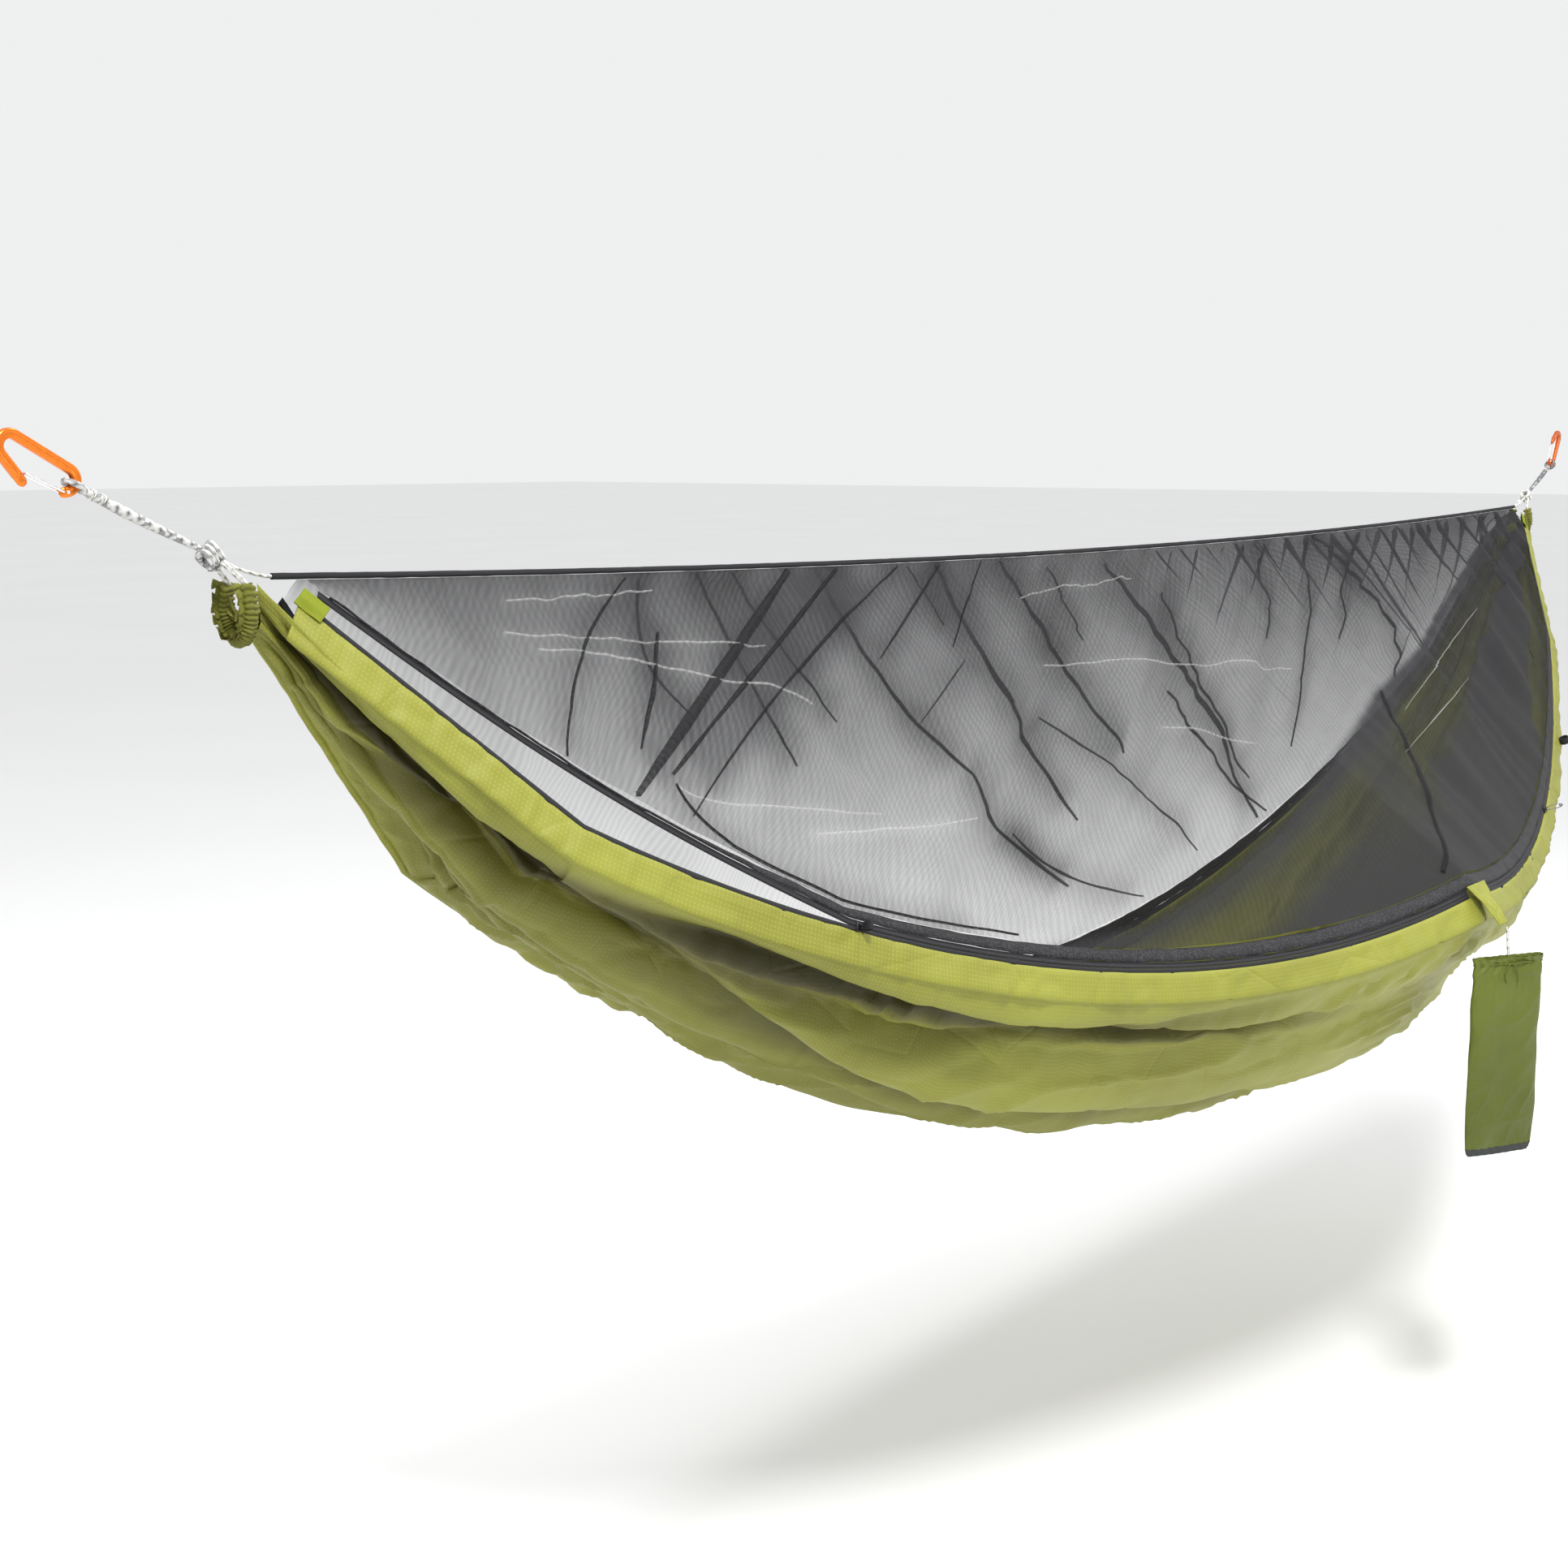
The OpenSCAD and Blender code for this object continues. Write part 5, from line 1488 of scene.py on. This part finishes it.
z_p = np.linspace(-SACK_H + PANEL, -SACK_H, 16)
w_p = np.interp(z_p, [-0.24, -0.236, -0.231], [0.086, 0.092, 0.0945])
t_p = np.interp(z_p, [-0.24, -0.236, -0.231], [0.006, 0.009, 0.0105])
panel = sack_shell("sack_base", z_p, w_p, t_p, M["panel"], 0.0012 + 0 * z_p, bottom=True)
settle(panel, "sack", "sack_bottom")


def drawstring():
    """The cord in the sack's mouth, with its two tails hanging in front."""
    line = sack_ring(-0.0082, 0.0965, 0.0105, 240)
    line[:, 2] += 0.0005 * np.sin(9 * np.linspace(0, 2 * np.pi, 240, endpoint=False))
    parts = [tube("sack_cord_ring", sack_place(line), 0.00105, [M["olive"]], 8, (0, 0, 1), braid(0.15), True)]
    for sx in (-1, 1):
        tail = spline([[sx * 0.002, -0.0062, -0.0082], [sx * 0.006, -0.0075, -0.013],
                       [sx * 0.009, -0.0078, -0.022], [sx * 0.008, -0.0092, -0.030]], 30)
        name = f"sack_cord_tail_{sx}"
        parts.append(tube(name, sack_place(tail), 0.0009, [M["olive"]], 8, (0, 1, 0), braid(0.15)))
    settle(join("sack_drawstring", *parts), "sack", "sack_drawcord")


drawstring()

# ---------------------------------------------------------------- carabiners
BAR_R, BEND, LEG_TURN, LEG_LEN, GATE_TURN = 0.004, 0.009, math.radians(22), 0.025, math.radians(-15)
SMALL, HANG = np.array([0.009, 0.009]), np.array([0.009, 0.057])
SEAT = np.array([0.009, HANG[1] + BEND - BAR_R])
LEG_TOP = HANG + BEND * np.array([math.cos(LEG_TURN), math.sin(LEG_TURN)])
NOSE = LEG_TOP + LEG_LEN * np.array([math.sin(LEG_TURN), -math.cos(LEG_TURN)])
HINGE = SMALL + BEND * np.array([math.cos(GATE_TURN), math.sin(GATE_TURN)])
TONGUE, WIRE_Z, WIRE_R = 0.0042, 0.0034, 0.0009


def turn_x(P, deg):
    c, s_ = math.cos(math.radians(deg)), math.sin(math.radians(deg))
    return np.stack([P[..., 0], P[..., 1] * c - P[..., 2] * s_, P[..., 1] * s_ + P[..., 2] * c], -1)


def turn_y(P, deg):
    c, s_ = math.cos(math.radians(deg)), math.sin(math.radians(deg))
    return np.stack([P[..., 0] * c + P[..., 2] * s_, P[..., 1], -P[..., 0] * s_ + P[..., 2] * c], -1)


def on_carabiner(P, right):
    """Points in the carabiner's own plane, brought to its place at either end."""
    Q = turn_y(turn_x(P - np.array([SEAT[0], SEAT[1], 0]), -90), 210 if right else 120)
    return Q + (right_at if right else 0)


right_at = np.zeros(3)


def bar_line():
    """The bar's middle line, from the gate's end round the top and the back to the gate's hinge.

    The third number is 0 where the bar is full and 1 where it is a flat tongue.
    """
    points = []
    for k in np.linspace(1.11, 0.0, 40):
        points.append([*(LEG_TOP + k * (NOSE - LEG_TOP)), float(smooth(0.70, 0.80, k))])
    for a in np.linspace(LEG_TURN, math.pi, 40)[1:-1]:
        points.append([HANG[0] + BEND * math.cos(a), HANG[1] + BEND * math.sin(a), 0])
    for y in np.linspace(HANG[1], SMALL[1], 46):
        points.append([0, y, 0])
    for a in np.linspace(math.pi, math.radians(357), 56)[1:]:
        tongue = float(smooth(math.radians(311), math.radians(326), a))
        points.append([SMALL[0] + BEND * math.cos(a), SMALL[1] + BEND * math.sin(a), tongue])
    points = np.array(points)
    for _ in range(2):
        points[1:-1, :2] = (points[:-2, :2] + 2 * points[1:-1, :2] + points[2:, :2]) / 4
    return points


def bar_rings(line):
    """Rounded-square sections with a broad shallow groove along both faces, and rounded ends."""
    tang = unit(np.gradient(line[:, :2], axis=0))
    a = np.linspace(0, 2 * np.pi, 40, endpoint=False)
    c, s = np.cos(a), np.sin(a)
    rows = []
    for i, (x, y, flat) in enumerate(line):
        half = BAR_R + (TONGUE / 2 - BAR_R) * flat
        from_end = min(i, len(line) - 1 - i)
        wide = BAR_R * (0.55 + 0.45 * math.sin(min(1, from_end / 5) * math.pi / 2))
        cx = np.sign(c) * np.abs(c) ** 0.82 * wide
        groove = 1 - 0.30 * (1 - flat) * np.exp(-((c / 0.46) ** 2))
        cz = np.sign(s) * np.abs(s) ** 0.85 * half * groove * (1.0 if from_end > 4 else 0.6 + 0.08 * from_end)
        rows.append(np.stack([x + tang[i, 1] * cx, y - tang[i, 0] * cx, cz], -1))
    in_plane = line * np.array([1, 1, 0])
    return np.array(rows), pair(lengths(in_plane[:, None, :], 0), a[None, :] * 0.004)


bar_points, bar_uv = bar_rings(bar_line())
# the right carabiner goes where the CAD's one is, along x and z
probe = on_carabiner(bar_points, True)
lo_r, hi_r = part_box("carabiner_right")
for i in (0, 2):
    right_at[i] = (lo_r[i] + hi_r[i]) / 2 - (probe[..., i].min() + probe[..., i].max()) / 2

gate_dir = unit(NOSE - HINGE)
gate_side = np.array([-gate_dir[1], gate_dir[0]])
CATCH = NOSE + (BAR_R + 0.0011 + WIRE_R + 0.00015) * gate_side - 0.0006 * gate_dir


def disc(name, centre, r, z0, z1, mat, right):
    """A rivet head or hole rim on the bar."""
    a_ = np.linspace(0, 2 * np.pi, 24, endpoint=False)
    way = np.sign(z1 - z0)
    sunk = z1 - 0.0005 * way
    rows = []
    edge = [(r, z0), (r, z1 - 0.0002 * way), (r * 0.86, z1)]
    for rr, zz in edge + [(r * 0.45, z1), (r * 0.40, sunk), (0.00001, sunk)]:
        rows.append(np.stack([centre[0] + rr * np.cos(a_), centre[1] + rr * np.sin(a_), np.full(24, zz)], -1))
    R = on_carabiner(np.array(rows), right)
    return mesh(name, R.reshape(-1, 3), grid_faces(6, 24, wrap=True), None, [mat])


def carabiner(side, right):
    """The bar with the two rivet heads of its gate's hinge."""
    name, mat = "carabiner_bar_" + side, M["orange_dark" if right else "orange"]
    parts = [bar_mesh(name, on_carabiner(bar_points, right), bar_uv, [mat])]
    at = math.radians(322)
    centre = SMALL + BEND * np.array([math.cos(at), math.sin(at)])
    for z in (1, -1):
        parts.append(disc(f"rivet_{side}_{z}", centre, 0.0013, z * 0.0015, z * 0.0033, M["steel"], right))
    settle(join(name, *parts), "anchors", "carabiner_" + side)


def wire_gate(side, right):
    """One bent wire: out of the hinge, up to the nose, round its catch and back."""
    other_face = np.array([1, 1, -1])
    u = np.linspace(0, 1, 26)[:, None]
    up_leg = np.concatenate([HINGE + (CATCH - HINGE) * u, WIRE_Z + 0 * u], 1)
    bow = np.linspace(0, np.pi, 18)[1:-1, None]
    nose_turn = np.concatenate([CATCH + 0.0010 * np.sin(bow) * gate_dir, WIRE_Z * np.cos(bow)], 1)
    foot = np.array([[*HINGE, 0.0012], [*(HINGE - 0.0002 * gate_dir), 0.0026]])
    down_leg = up_leg[::-1] * other_face
    wire = spline(np.concatenate([foot, up_leg[1:], nose_turn, down_leg[:-1], foot[::-1] * other_face]), 220)
    ob = tube("gate_wire_" + side, on_carabiner(wire, right), WIRE_R, [M["steel"]], 14, (0, 1, 0.01))
    settle(ob, "gate_" + side, "wire_gate_" + side)


for side, right in BOTH:
    carabiner(side, right)
    wire_gate(side, right)
